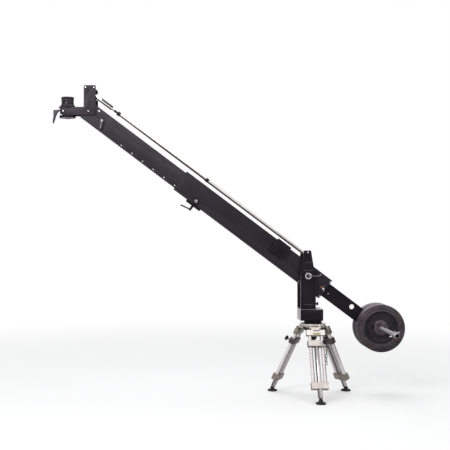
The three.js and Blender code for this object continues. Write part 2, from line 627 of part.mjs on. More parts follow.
function makeTower() {
  makeTowerPlate('tower_plate_near', -1, TOWER_TOP);
  makeTowerPlate('tower_plate_far', 1, TOWER_TOP_FAR);
  const inner = TOWER_INNER - GAP;
  const footTop = TOWER_BOTTOM + TOWER_FOOT_HEIGHT;
  const foot = block(TOWER_FOOT_SETBACK - TOWER_FRONT, TOWER_REAR, -inner, inner, TOWER_BOTTOM, footTop);
  addPiece(tower, 'tower_foot', foot, BLACK_PAINT);

  const seat = CHEEK_OUTER + GAP;
  const head = barY(AXLE_HEAD_RADIUS, -seat - AXLE_HEAD_THICKNESS, -seat, 0, 0, ROUND_SIDES);
  const nut = barY(AXLE_NUT_RADIUS, seat, seat + AXLE_NUT_THICKNESS, 0, 0, LINK_SIDES);
  const shaft = barY(AXLE_RADIUS, -CHEEK_OUTER - AXLE_HEAD_THICKNESS, CHEEK_OUTER + AXLE_NUT_THICKNESS);
  addPiece(tower, 'main_axle', join(shaft, head, nut), BRIGHT_STEEL);

  const pin = barY(ROD_PIN_RADIUS, -TOWER_OUTER, TOWER_OUTER, 0, ROD_SPACING);
  const sleeves = spacerSleeves(REAR_EYE_WIDTH / 2, TOWER_INNER, 0, ROD_SPACING);
  addPiece(tower, 'rear_rod_pin', join(pin, ...sleeves), DARK_STEEL);

  const hubBack = -CHEEK_OUTER - AXLE_HEAD_THICKNESS - 2 * GAP;
  const hub = barY(TILT_HUB_RADIUS, hubBack - TILT_HUB_DEPTH, hubBack);
  const arm = barX(TILT_LEVER_RADIUS, 0, TILT_LEVER_LENGTH, hubBack - TILT_HUB_DEPTH / 2, 0, LINK_STEPS);
  const tip = new THREE.SphereGeometry(TILT_LEVER_RADIUS * 3 / 2, LINK_STEPS, LINK_SIDES)
    .translate(TILT_LEVER_LENGTH, hubBack - TILT_HUB_DEPTH / 2, 0);
  addPiece(tower, 'tilt_lever', join(hub, arm, tip), BRIGHT_STEEL);

  const knobZ = TOWER_BOTTOM + PAN_KNOB_RISE;
  const stemEnd = TOWER_REAR + GAP + PAN_STEM_LENGTH;
  const knobEnd = stemEnd + PAN_KNOB_DEPTH;
  const stem = barX(PAN_STEM_RADIUS, TOWER_REAR + GAP, (stemEnd + knobEnd) / 2, -PAN_KNOB_SIDE, knobZ);
  const grip = barX(PAN_KNOB_RADIUS, stemEnd, knobEnd, -PAN_KNOB_SIDE, knobZ);
  addPiece(tower, 'pan_lock_knob', join(stem, grip), BLACK_PLASTIC);
}

// A sleeve on each side of a rod eye, out to the plates that hold the pin
function spacerSleeves(eyeHalf, plateInner, x, z) {
  const [near, far] = [eyeHalf + GAP, plateInner - GAP];
  return [barY(ROD_SPACER_RADIUS, near, far, x, z, LINK_STEPS),
    barY(ROD_SPACER_RADIUS, -far, -near, x, z, LINK_STEPS)];
}

const arm = addGroup(tower, 0, 0, 0);
arm.rotation.y = radians(ARM_TILT);

// The arm in its own frame: the main pivot at the origin, the head towards -X
function makeOuterTube() {
  const tube = roundedBarX(OUTER_HEIGHT, OUTER_WIDTH, OUTER_CORNER, -OUTER_REACH, OUTER_TAIL);
  const inside = roundedBarX(OUTER_HEIGHT - 2 * OUTER_WALL, OUTER_WIDTH - 2 * OUTER_WALL, OUTER_CORNER / 2,
    -OUTER_REACH - OVERRUN, OUTER_TAIL + OVERRUN);
  const hubHole = barY(HUB_RADIUS + GAP, -OUTER_WIDTH, OUTER_WIDTH, 0, 0, ROUND_SIDES);
  const pinHole = barY(INDEX_PIN_RADIUS + GAP, -OUTER_WIDTH, 0, -INDEX_REACH, -INDEX_DROP, LINK_STEPS);
  addPiece(arm, 'outer_tube', cut(tube, inside, hubHole, pinHole), BLACK_PAINT);

  const innerHalf = OUTER_WIDTH / 2 - OUTER_WALL - GAP;
  const innerRise = OUTER_HEIGHT / 2 - OUTER_WALL - GAP;
  const hubEnd = TOWER_INNER - GAP;
  const half = PIVOT_BLOCK_LENGTH / 2;
  const body = roundedBarX(2 * innerRise, 2 * innerHalf, OUTER_CORNER, -half, half);
  const hub = barY(HUB_RADIUS, -hubEnd, hubEnd, 0, 0, ROUND_SIDES);
  const bore = barY(AXLE_RADIUS + GAP, -TOWER_OUTER, TOWER_OUTER);
  addPiece(arm, 'pivot_block', cut(join(body, hub), bore), SILVER_TUBE);

  const mouthBlock = roundedBarX(2 * innerRise, 2 * innerHalf, OUTER_CORNER, -OUTER_REACH,
    -OUTER_REACH + LINER_LENGTH);
  const way = roundedBarX(INNER_HEIGHT + 2 * GAP, INNER_WIDTH + 2 * GAP, INNER_CORNER,
    -OUTER_REACH - OVERRUN, -OUTER_REACH + LINER_LENGTH + OVERRUN);
  addPiece(arm, 'mouth_liner', cut(mouthBlock, way), NYLON);
}

function makeTail() {
  const innerHalf = OUTER_WIDTH / 2 - OUTER_WALL - GAP;
  const innerRise = OUTER_HEIGHT / 2 - OUTER_WALL - GAP;
  const start = OUTER_TAIL - SOCKET_LENGTH;
  const [h, w] = [TAIL_HEIGHT / 2, TAIL_THICKNESS / 2];
  const socket = roundedBarX(2 * innerRise, 2 * innerHalf, OUTER_CORNER, start, OUTER_TAIL);
  const slot = block(start - OVERRUN, OUTER_TAIL + OVERRUN, -w - GAP, w + GAP, -h - GAP, h + GAP);
  addPiece(arm, 'tail_socket', cut(socket, slot), SILVER_TUBE);

  const end = WEIGHT_REACH + TAIL_END_MARGIN;
  const shape = outline([[start + GAP, -h], [end, -h, h / 2], [end, h, h / 2], [start + GAP, h]]);
  const bar = plateY(shape, -w, w);
  const [y0, y1] = [-w - OVERRUN, w + OVERRUN];
  const barHole = barY(BAR_RADIUS + GAP, y0, y1, WEIGHT_REACH, WEIGHT_RISE, ROUND_SIDES);
  const spareHole = barY(TAIL_HOLE_RADIUS, y0, y1, TAIL_HOLE_REACH, TAIL_HOLE_RISE, ROUND_SIDES);
  addPiece(arm, 'tail_bar', cut(bar, barHole, spareHole), BLACK_PAINT);
}

// What is fixed to or turns on the outside of the outer tube
function makeOuterFittings() {
  const bottom = -OUTER_HEIGHT / 2 - GAP;
  const [from, to] = [-CLAMP_REACH - CLAMP_LENGTH / 2, -CLAMP_REACH + CLAMP_LENGTH / 2];
  const jaw = block(from, to, -CLAMP_WIDTH / 2, CLAMP_WIDTH / 2, bottom - CLAMP_HEIGHT, bottom);
  addPiece(arm, 'slide_clamp', jaw, BLACK_PAINT);

  const top = bottom - CLAMP_HEIGHT - GAP;
  const turn = addGroup(arm, -CLAMP_REACH, 0, top);
  const stem = barZ(CLAMP_STEM_RADIUS, -CLAMP_STEM_LENGTH, 0);
  const angle = Math.atan2(CLAMP_LEVER_DROP, CLAMP_LEVER_LENGTH);
  const reach = Math.hypot(CLAMP_LEVER_DROP, CLAMP_LEVER_LENGTH);
  const handle = barX(CLAMP_LEVER_RADIUS, -reach, 0, 0, 0, LINK_STEPS).rotateY(-angle)
    .translate(0, 0, -CLAMP_STEM_LENGTH + CLAMP_STEM_RADIUS);
  addPiece(turn, 'slide_clamp_lever', join(stem, handle), DARK_STEEL);

  const side = addGroup(arm, -INDEX_REACH, -OUTER_WIDTH / 2 - GAP, -INDEX_DROP);
  const [l, h] = [PLUNGER_BASE_LENGTH / 2, PLUNGER_BASE_HEIGHT / 2];
  const pinBore = barY(INDEX_PIN_RADIUS + GAP, -OUTER_WIDTH, OUTER_WIDTH, 0, 0, LINK_STEPS);
  const flange = block(-l, l, -PLUNGER_BASE_DEPTH, 0, -OUTER_HEIGHT / 2 + INDEX_DROP, h);
  addPiece(side, 'plunger_housing', cut(flange, pinBore), BLACK_PLASTIC);
  // Drawn out at rest: the pin ends inside the tube's wall, clear of the inner arm that slides past it
  const front = -PLUNGER_BASE_DEPTH - GAP - PLUNGER_TRAVEL;
  const knob = barY(PLUNGER_KNOB_RADIUS, front - PLUNGER_KNOB_DEPTH, front);
  const tip = barY(INDEX_PIN_RADIUS, front - GAP, OUTER_WALL, 0, 0, LINK_STEPS);
  addPiece(side, 'index_plunger', join(knob, tip), BLACK_PLASTIC);

  const [x, z] = [BOX_LENGTH / 2, BOX_HEIGHT / 2];
  const shape = outline([[-x, -z, BOX_CORNER], [x, -z, BOX_CORNER], [x, z, BOX_CORNER],
    [-x, z, BOX_CORNER]]);
  const face = -OUTER_WIDTH / 2 - GAP;
  const box = plateY(shape, face - BOX_DEPTH, face);
  addPiece(arm, 'side_box', box.translate(-BOX_REACH, 0, BOX_RISE), BLACK_PLASTIC);
}

// The inner tube, with a raised shoe round its hidden end and its row of index holes
function makeInnerTube() {
  const nose = -ARM_LENGTH - INNER_NOSE;
  const tube = roundedBarX(INNER_HEIGHT, INNER_WIDTH, INNER_CORNER, nose, -INNER_START);
  const fit = 2 * (OUTER_WALL + GAP);
  const shoe = roundedBarX(OUTER_HEIGHT - fit, OUTER_WIDTH - fit, INNER_CORNER,
    -INNER_START - SHOE_LENGTH, -INNER_START);
  const inside = roundedBarX(INNER_HEIGHT - 2 * INNER_WALL, INNER_WIDTH - 2 * INNER_WALL, INNER_CORNER / 2,
    nose - OVERRUN, -INNER_START + OVERRUN);
  const holes = [];
  for (let i = 0; i < INDEX_HOLES; i += 1) {
    const place = -INDEX_REACH - i * INDEX_PITCH;
    holes.push(barY(INDEX_PIN_RADIUS + GAP, -OUTER_WIDTH, 0, place, -INDEX_DROP, LINK_STEPS));
  }
  const pinHole = barY(HEAD_PIN_RADIUS + GAP, -OUTER_WIDTH, OUTER_WIDTH, -ARM_LENGTH, 0);
  addPiece(arm, 'inner_tube', cut(join(tube, shoe), inside, pinHole, ...holes), BLACK_PAINT);

  const w = INNER_WIDTH / 2 - INNER_WALL - GAP;
  const h = INNER_HEIGHT / 2 - INNER_WALL - GAP;
  const endBlock = roundedBarX(2 * h, 2 * w, INNER_CORNER, nose, nose + END_BLOCK_LENGTH);
  addPiece(arm, 'tube_end_block', cut(endBlock, pinHole), SILVER_TUBE);

  const lock = addGroup(arm, -LOCK_REACH, -INNER_WIDTH / 2 - GAP, LOCK_RISE);
  const hub = barY(LOCK_HUB_RADIUS, -LOCK_HUB_DEPTH, 0);
  const middle = -LOCK_HUB_DEPTH + LOCK_LEVER_RADIUS;
  const handle = barX(LOCK_LEVER_RADIUS, 0, LOCK_LEVER_LENGTH, middle, 0, LINK_STEPS)
    .rotateY(radians(LOCK_LEVER_ANGLE));
  addPiece(lock, 'head_lock_lever', join(hub, handle), SILVER_TUBE);
}

const rods = addGroup(tower, 0, 0, ROD_SPACING);
rods.rotation.y = radians(ARM_TILT);

function makeRods() {
  const eye = barY(REAR_EYE_RADIUS, -REAR_EYE_WIDTH / 2, REAR_EYE_WIDTH / 2);
  const tube = barX(REAR_ROD_RADIUS, -REAR_ROD_LENGTH, 0);
  const clampRing = barX(ROD_CLAMP_RADIUS, -REAR_ROD_LENGTH, -REAR_ROD_LENGTH + ROD_CLAMP_LENGTH);
  const pinBore = barY(ROD_PIN_RADIUS + GAP, -REAR_EYE_WIDTH, REAR_EYE_WIDTH);
  const bore = barX(REAR_ROD_BORE, -REAR_ROD_LENGTH - OVERRUN, -REAR_ROD_BORE_START);
  addPiece(rods, 'rear_rod', cut(join(tube, eye, clampRing), pinBore, bore), BRIGHT_STEEL);

  const knobX = -REAR_ROD_LENGTH + ROD_CLAMP_LENGTH / 2;
  const foot = -ROD_CLAMP_RADIUS - GAP;
  const back = foot - ROD_KNOB_STEM;
  const knob = join(barY(ROD_KNOB_RADIUS / 2, back - ROD_KNOB_HEIGHT / 2, foot, 0, 0),
    barY(ROD_KNOB_RADIUS, back - ROD_KNOB_HEIGHT, back));
  addPiece(rods, 'rod_clamp_knob', knob.translate([knobX, 0, 0]), BLACK_PLASTIC);

  const front = addGroup(rods, -ARM_LENGTH, 0, 0);
  const frontEye = barY(FRONT_EYE_RADIUS, -FRONT_EYE_WIDTH / 2, FRONT_EYE_WIDTH / 2);
  const forkStart = (FRONT_EYE_RADIUS + ROD_SPACER_RADIUS) / 2;
  const fork = barX(FRONT_FORK_RADIUS, forkStart, FRONT_FORK_LENGTH);
  const [a0, a1] = [ADJUSTER_SETBACK, ADJUSTER_SETBACK + ADJUSTER_LENGTH];
  const stud = barX(FRONT_STUD_RADIUS, 0, a1 + FRONT_ROD_PLUG);
  const rodEnd = ARM_LENGTH - FRONT_ROD_START;
  const rod = barX(FRONT_ROD_RADIUS, a1 + GAP, rodEnd);
  const rodBore = barX(FRONT_ROD_BORE, a1 + FRONT_ROD_PLUG, rodEnd + OVERRUN);
  const frontBore = barY(ROD_PIN_RADIUS + GAP, -REAR_EYE_WIDTH, REAR_EYE_WIDTH);
  addPiece(front, 'front_rod', cut(join(stud, fork, rod, frontEye), frontBore, rodBore), DARK_STEEL);

  const nut = a0 - LOCKNUT_REACH;
  const adjuster = cut(join(barX(LOCKNUT_SLEEVE_RADIUS, nut, a1), barX(ADJUSTER_RADIUS, a0, a1),
    barX(LOCKNUT_RADIUS, nut, nut + LOCKNUT_LENGTH)),
    barX(FRONT_STUD_RADIUS + GAP, nut - OVERRUN, a1 + OVERRUN));
  addPiece(front, 'rod_adjuster', adjuster, BLACK_PLASTIC);
}

// The head hangs on the arm's end and stays level
const head = addGroup(tower, 0, 0, 0);
head.position.set(-ARM_LENGTH * Math.cos(radians(ARM_TILT)), 0, ARM_LENGTH * Math.sin(radians(ARM_TILT)));

function headBores() {
  return [barY(HEAD_PIN_RADIUS + GAP, -OUTER_WIDTH, OUTER_WIDTH),
    barY(ROD_PIN_RADIUS + GAP, -OUTER_WIDTH, OUTER_WIDTH, 0, ROD_SPACING)];
}

function makeHeadPlates() {
  const front = [[-HEAD_MAST_FRONT, HEAD_SHELF, HEAD_INNER_CORNER], [-HEAD_FRONT, HEAD_SHELF],
    [-HEAD_FRONT, -HEAD_BOTTOM]];
  const near = outline([...front, [HEAD_REAR, -HEAD_BOTTOM], [HEAD_REAR, HEAD_MAST_TOP, HEAD_CORNER],
    [-HEAD_MAST_FRONT, HEAD_MAST_TOP, HEAD_CORNER]]);
  const far = outline([...front, [FAR_REAR, -HEAD_BOTTOM], [FAR_REAR, FAR_STEP_HEIGHT],
    [FAR_MAST_REAR, FAR_STEP_HEIGHT], [FAR_MAST_REAR, HEAD_MAST_TOP],
    [-HEAD_MAST_FRONT, HEAD_MAST_TOP, HEAD_CORNER]]);
  const nearPlate = plateY(near, -HEAD_OUTER, -HEAD_GAP_HALF);
  addPiece(head, 'head_plate_near', cut(nearPlate, ...headBores()), BLACK_PAINT);
  const boss = barY(FAR_BOSS_RADIUS, HEAD_GAP_HALF, HEAD_OUTER, FAR_MAST_REAR, ROD_SPACING);
  const spacerEnd = -HEAD_GAP_HALF + GAP;
  const spacer = barY(SPACER_RADIUS, spacerEnd, HEAD_OUTER, -SPACER_FRONT, SPACER_HEIGHT, LINK_STEPS);
  const farPlate = cut(join(plateY(far, HEAD_GAP_HALF, HEAD_OUTER), boss, spacer), ...headBores());
  addPiece(head, 'head_plate_far', farPlate, BLACK_PAINT);

  const pin = barY(HEAD_PIN_RADIUS, -HEAD_OUTER - HEAD_PIN_HEAD_DEPTH, HEAD_OUTER + HEAD_PIN_HEAD_DEPTH);
  const heads = [-1, 1].map((side) => {
    const seat = HEAD_OUTER + GAP;
    const ends = [side * seat, side * (seat + HEAD_PIN_HEAD_DEPTH)].sort((a, b) => a - b);
    return barY(HEAD_PIN_HEAD_RADIUS, ...ends);
  });
  addPiece(head, 'head_pin', join(pin, ...heads), BRIGHT_STEEL);
  const rodPin = barY(ROD_PIN_RADIUS, -HEAD_OUTER, HEAD_OUTER, 0, ROD_SPACING);
  const sleeves = spacerSleeves(FRONT_EYE_WIDTH / 2, HEAD_GAP_HALF, 0, ROD_SPACING);
  addPiece(head, 'front_rod_pin', join(rodPin, ...sleeves), DARK_STEEL);
}

// The camera mount: a round body let in between the plates, a disc below and a nut above
function makeCameraMount() {
  const mount = addGroup(head, -MOUNT_REACH, 0, 0);
  const inner = HEAD_GAP_HALF - GAP;
  const plateEnd = MOUNT_REACH - HEAD_FRONT - GAP;
  const bore = barZ(MOUNT_BORE, -HEAD_MAST_TOP, HEAD_MAST_TOP, 0, 0, ROUND_SIDES);
  const body = turnedZ([[0, -MOUNT_FOOT], [MOUNT_RADIUS, -MOUNT_FOOT],
    [MOUNT_RADIUS, MOUNT_TOP - MOUNT_BEVEL], [MOUNT_RADIUS - MOUNT_BEVEL / 2, MOUNT_TOP], [0, MOUNT_TOP]]);
  const outer = MOUNT_RADIUS + OVERRUN;
  const seats = [[inner, outer], [-outer, -inner]].map(([y0, y1]) => block(plateEnd, outer, y0, y1,
    -MOUNT_FOOT - OVERRUN, HEAD_SHELF + GAP));
  const lugHalf = MOUNT_LUG_HEIGHT / 2;
  const lug = block(-MOUNT_RADIUS - MOUNT_LUG_LENGTH, -MOUNT_BORE - OVERRUN, -lugHalf, lugHalf,
    MOUNT_LUG_RISE, MOUNT_LUG_RISE + MOUNT_LUG_HEIGHT);
  addPiece(mount, 'mount_body', cut(join(body, lug), bore, ...seats), BLACK_PAINT);

  const top = -HEAD_BOTTOM - GAP;
  const disc = turnedZ([[MOUNT_BORE, -DISC_BOTTOM], [DISC_RADIUS - DISC_EDGE, -DISC_BOTTOM],
    [DISC_RADIUS, -DISC_BOTTOM + DISC_EDGE], [DISC_RADIUS, top], [DISC_BOSS_RADIUS, top],
    [DISC_BOSS_RADIUS, -MOUNT_FOOT - GAP], [MOUNT_BORE, -MOUNT_FOOT - GAP], [MOUNT_BORE, -DISC_BOTTOM]]);
  addPiece(mount, 'mount_disc', disc, BLACK_PAINT);

  const base = MOUNT_TOP + GAP;
  const crown = base + NUT_HEIGHT;
  const nut = turnedZ([[MOUNT_BORE, base], [NUT_RADIUS, base], [NUT_WAIST_RADIUS, (base + crown) / 2],
    [NUT_RADIUS, crown - 2 * NUT_EDGE], [NUT_RADIUS, crown - NUT_EDGE], [NUT_RADIUS - NUT_EDGE, crown],
    [MOUNT_BORE, crown], [MOUNT_BORE, base]]);
  addPiece(mount, 'mount_nut', nut, BLACK_PAINT);

  const start = -MOUNT_RADIUS - GAP;
  const end = start - LEVER_HUB_LENGTH;
  const hub = barX(LEVER_HUB_RADIUS, end, start, 0, LEVER_RISE);
  const grip = outline([[end, LEVER_RISE + LEVER_HUB_RADIUS], [end - LEVER_LEAN, LEVER_RISE - LEVER_DROP],
    [end - LEVER_LEAN + LEVER_TIP_WIDTH, LEVER_RISE - LEVER_DROP],
    [end + LEVER_TOP_WIDTH / 2, -LEVER_RISE], [end + LEVER_TOP_WIDTH, LEVER_RISE]]);
  const leverGrip = plateY(grip, -LEVER_THICKNESS / 2, LEVER_THICKNESS / 2);
  addPiece(mount, 'mount_lever', join(hub, leverGrip), BLACK_PLASTIC);
}

// The weight bar through the tail, with a plate and a clamp collar on each side
function makeWeights() {
  const weights = addGroup(arm, WEIGHT_REACH, 0, WEIGHT_RISE);
  const bar = barY(BAR_RADIUS, -BAR_LENGTH / 2, BAR_LENGTH / 2, 0, 0, ROUND_SIDES);
  addPiece(weights, 'weight_bar', bar, BRIGHT_STEEL);
  const inner = TAIL_THICKNESS / 2 + GAP;
  const outer = inner + WEIGHT_THICKNESS;
  const [webInner, webOuter] = [inner + WEIGHT_RECESS, outer - WEIGHT_RECESS];
  const [rim, rimFlat] = [WEIGHT_WEB_END + WEIGHT_EDGE, WEIGHT_RADIUS - WEIGHT_EDGE];
  const profile = [[WEIGHT_BORE, inner], [WEIGHT_HUB_RADIUS, inner], [WEIGHT_WEB_START, webInner],
    [WEIGHT_WEB_END, webInner], [rim, inner], [rimFlat, inner], [WEIGHT_RADIUS, inner + WEIGHT_EDGE],
    [WEIGHT_RADIUS, outer - WEIGHT_EDGE], [rimFlat, outer], [rim, outer], [WEIGHT_WEB_END, webOuter],
    [WEIGHT_WEB_START, webOuter], [WEIGHT_HUB_RADIUS, outer], [WEIGHT_BORE, outer], [WEIGHT_BORE, inner]];
  const points = profile.map(([radius, y]) => new THREE.Vector2(radius, y));
  [['near', Math.PI], ['far', 0]].forEach(([name, turn]) => {
    const plate = new THREE.LatheGeometry(points, ROUND_SIDES).rotateZ(turn);
    addPiece(weights, `weight_plate_${name}`, plate, CAST_IRON);
    const ring = barY(COLLAR_RING_RADIUS, COLLAR_PLACE, COLLAR_PLACE + COLLAR_RING_WIDTH);
    const middle = COLLAR_PLACE + COLLAR_RING_WIDTH / 2;
    const reach = COLLAR_RING_RADIUS + COLLAR_LUG_LENGTH;
    const lug = barX(COLLAR_LUG_RADIUS, -reach, reach, middle, 0, LINK_STEPS).rotateY(radians(COLLAR_TURN));
    const bore = barY(WEIGHT_BORE, 0, BAR_LENGTH, 0, 0, ROUND_SIDES);
    const collar = cut(join(ring, lug), bore).rotate([0, 0, THREE.MathUtils.radToDeg(turn)]);
    addPiece(weights, `weight_collar_${name}`, collar, BRIGHT_STEEL);
  });
}

makeBowl();
LEG_NAMES.forEach(makeLeg);
makeSpigot();
makeBaseBlock();
makeTower();
makeOuterTube();
makeTail();
makeOuterFittings();
makeInnerTube();
makeRods();
makeHeadPlates();
makeCameraMount();
makeWeights();

// The origin is on the floor, under the middle of the whole crane
const extent = new THREE.Box3().setFromObject(crane, true);
crane.position.x = -(extent.min.x + extent.max.x) / 2;
crane.position.y = -(extent.min.y + extent.max.y) / 2;

const model = new THREE.Group();
model.add(crane);

export default model;
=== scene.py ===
"""Looks of the camera jib crane: its finishes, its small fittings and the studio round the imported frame."""
import json
import logging
import math
from collections.abc import Callable
from dataclasses import dataclass, replace
from enum import Enum
from functools import cache

import bmesh
import bpy
from mathutils import Matrix, Vector


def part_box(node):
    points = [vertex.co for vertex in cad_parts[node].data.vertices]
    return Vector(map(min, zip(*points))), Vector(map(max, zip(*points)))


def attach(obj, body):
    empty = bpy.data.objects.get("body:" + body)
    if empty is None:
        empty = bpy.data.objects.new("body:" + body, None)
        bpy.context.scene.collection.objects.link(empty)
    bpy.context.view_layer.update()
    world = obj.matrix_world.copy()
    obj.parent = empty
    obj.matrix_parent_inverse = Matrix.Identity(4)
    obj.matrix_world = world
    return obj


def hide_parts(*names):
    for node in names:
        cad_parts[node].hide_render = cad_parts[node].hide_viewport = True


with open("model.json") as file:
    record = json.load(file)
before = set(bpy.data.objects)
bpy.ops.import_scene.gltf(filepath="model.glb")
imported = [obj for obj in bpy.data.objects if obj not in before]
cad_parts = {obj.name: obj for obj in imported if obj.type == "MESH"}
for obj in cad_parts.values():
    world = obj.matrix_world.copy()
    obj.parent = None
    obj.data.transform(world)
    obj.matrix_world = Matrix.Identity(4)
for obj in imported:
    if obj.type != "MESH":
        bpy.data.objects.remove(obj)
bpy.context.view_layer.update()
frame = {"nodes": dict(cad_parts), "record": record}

LOG = logging.getLogger("jib_crane")
Colour = tuple[float, float, float]
Point = tuple[float, float, float]
Pair = tuple[float, float]
Profile = list[tuple]
Mesh = bpy.types.Mesh
Piece = bpy.types.Object
Socket = bpy.types.NodeSocket

ORIGIN = (0.0, 0.0, 0.0)
EVEN = (1.0, 1.0, 1.0)
NEAR = (0.0, -1.0, 0.0)
FAR = (0.0, 1.0, 0.0)
REARWARD = (1.0, 0.0, 0.0)
BOTH_SIDES = ((-1.0, "a"), (1.0, "b"))
ARM_TILT = math.radians(36.95)
LEG_SPLAY = math.radians(25.6)
LEG_TURNS = {"front": 0.0, "left": -math.tau / 3, "right": math.tau / 3}
ROD_RISE = 0.130
WELD = 2e-6
FLAT_BEND = math.radians(0.4)
VOLUME_SLACK = 0.03
BEVEL_STEPS = 2
BODY_OF = {node: body for body, nodes in frame["record"]["behaviour"]["bodies"].items() for node in nodes}


class Cut(Enum):
    """How a turned ring's outline departs from a circle."""

    HEX = "hex"
    LOBED = "lobed"


HEX, LOBED = Cut.HEX, Cut.LOBED


# Finishes


class NodeSheet:
    """A node tree under construction: short calls that add its nodes."""

    def __init__(self, owner: bpy.types.Material | bpy.types.World, output: str) -> None:
        """Empties a tree and gives it an output.

        Args:
            owner: what the tree belongs to.
            output: the output node's type.
        """
        owner.use_nodes = True
        self.tree = owner.node_tree
        self.tree.nodes.clear()
        self.output = self.add(output)

    def feed(self, node: bpy.types.Node, inputs: dict[str | int, object]) -> None:
        """Fills a node's inputs.

        Args:
            node: the node.
            inputs: sockets to join and values to set, by the input's name or number.
        """
        for key, value in inputs.items():
            if isinstance(value, Socket):
                self.tree.links.new(value, node.inputs[key])
            else:
                node.inputs[key].default_value = value

    def add(self, kind: str, inputs: dict[str | int, object] | None = None,
            **settings: str | int) -> bpy.types.Node:
        """Adds a node.

        Args:
            kind: its type.
            inputs: sockets to join and values to set, by the input's name or number.
            settings: its own settings.

        Returns:
            The node.
        """
        node = self.tree.nodes.new(kind)
        for name, value in settings.items():
            setattr(node, name, value)
        self.feed(node, inputs or {})
        return node

    def show(self, node: bpy.types.Node) -> None:
        """Joins a shader node to the output."""
        self.feed(self.output, {"Surface": node.outputs[0]})


class ShaderSheet(NodeSheet):
    """One material under construction."""

    def __init__(self, name: str) -> None:
        """Starts a material with a principled shader.

        Args:
            name: the material's name.
        """
        self.material = bpy.data.materials.new(name)
        super().__init__(self.material, "ShaderNodeOutputMaterial")
        self.shader = self.add("ShaderNodeBsdfPrincipled")
        self.place = self.add("ShaderNodeTexCoord").outputs["Object"]
        self.show(self.shader)

    def noise(self, scale: float, detail: float = 3.0, stretch: Point = EVEN, turn: float = 0.0,
              rough: float = 0.55) -> Socket:
        """Adds a noise texture in the object's own metres.

        Args:
            scale: cells per metre.
            detail: number of finer layers.
            stretch: factors on the coordinates, for grain that runs one way.
            turn: turn about Y in radians, before the stretch.
            rough: weight of the finer layers.

        Returns:
            The noise value, from 0 to 1.
        """
        place = self.place
        if turn:
            place = self.add("ShaderNodeMapping", {"Vector": place, "Rotation": (0.0, turn, 0.0)}).outputs[0]
        if stretch != EVEN:
            place = self.add("ShaderNodeMapping", {"Vector": place, "Scale": stretch}).outputs[0]
        return self.add("ShaderNodeTexNoise", {
            "Vector": place, "Scale": scale, "Detail": detail, "Roughness": rough}).outputs["Fac"]

    def fade(self, value: Socket, low: float, high: float, start: float = 0.0, end: float = 1.0) -> Socket:
        """Maps a value smoothly from one range to another.

        Args:
            value: the value to map.
            low: where the change starts.
            high: where the change ends.
            start: the result up to low.
            end: the result from high on.

        Returns:
            The mapped value.
        """
        return self.add("ShaderNodeMapRange", {
            "Value": value, "From Min": low, "From Max": high, "To Min": start, "To Max": end},
                        interpolation_type="SMOOTHSTEP").outputs["Result"]

    def times(self, first: Socket, second: Socket) -> Socket:
        """Multiplies two values."""
        return self.add("ShaderNodeMath", {0: first, 1: second}, operation="MULTIPLY").outputs[0]

    def likeness(self, first: Socket, second: Socket | Point) -> Socket:
        """Measures how far two directions agree, from -1 to 1."""
        return self.add("ShaderNodeVectorMath", {0: first, 1: second},
                        operation="DOT_PRODUCT").outputs["Value"]

    def blend(self, share: Socket, low: Colour | Socket, high: Colour | Socket) -> Socket:
        """Mixes two colours.

        Args:
            share: 0 for the first colour, 1 for the second.
            low: the first colour.
            high: the second colour.

        Returns:
            The mixed colour.
        """
        tones = {key: (*tone, 1.0) if isinstance(tone, tuple) else tone
                 for key, tone in ((6, low), (7, high))}
        return self.add("ShaderNodeMix", {0: share, **tones}, data_type="RGBA").outputs[2]

    def bump(self, height: Socket, depth: float, below: Socket) -> Socket:
        """Adds a bump of a depth in metres to a normal."""
        return self.add("ShaderNodeBump",
                        {"Height": height, "Distance": depth, "Normal": below}).outputs["Normal"]

    def rounded(self, width: float) -> Socket:
        """Gives a normal with the edges rounded by a width in metres."""
        return self.add("ShaderNodeBevel", {"Radius": width}, samples=6).outputs["Normal"]

    def height(self) -> Socket:
        """Gives the height in the object's own metres."""
        return self.add("ShaderNodeSeparateXYZ", {"Vector": self.place}).outputs["Z"]

    def facing(self, direction: Point) -> Socket:
        """Measures how far a face looks along a direction of the object, from -1 to 1."""
        return self.likeness(self.add("ShaderNodeTexCoord").outputs["Normal"], direction)

    def edges(self, normal: Socket) -> Socket:
        """Finds the edges by comparing a rounded normal with the face's own: 0 on faces, 1 on an edge."""
        face = self.add("ShaderNodeNewGeometry").outputs["True Normal"]
        return self.fade(self.likeness(normal, face), 0.72, 0.985, 1.0, 0.0)


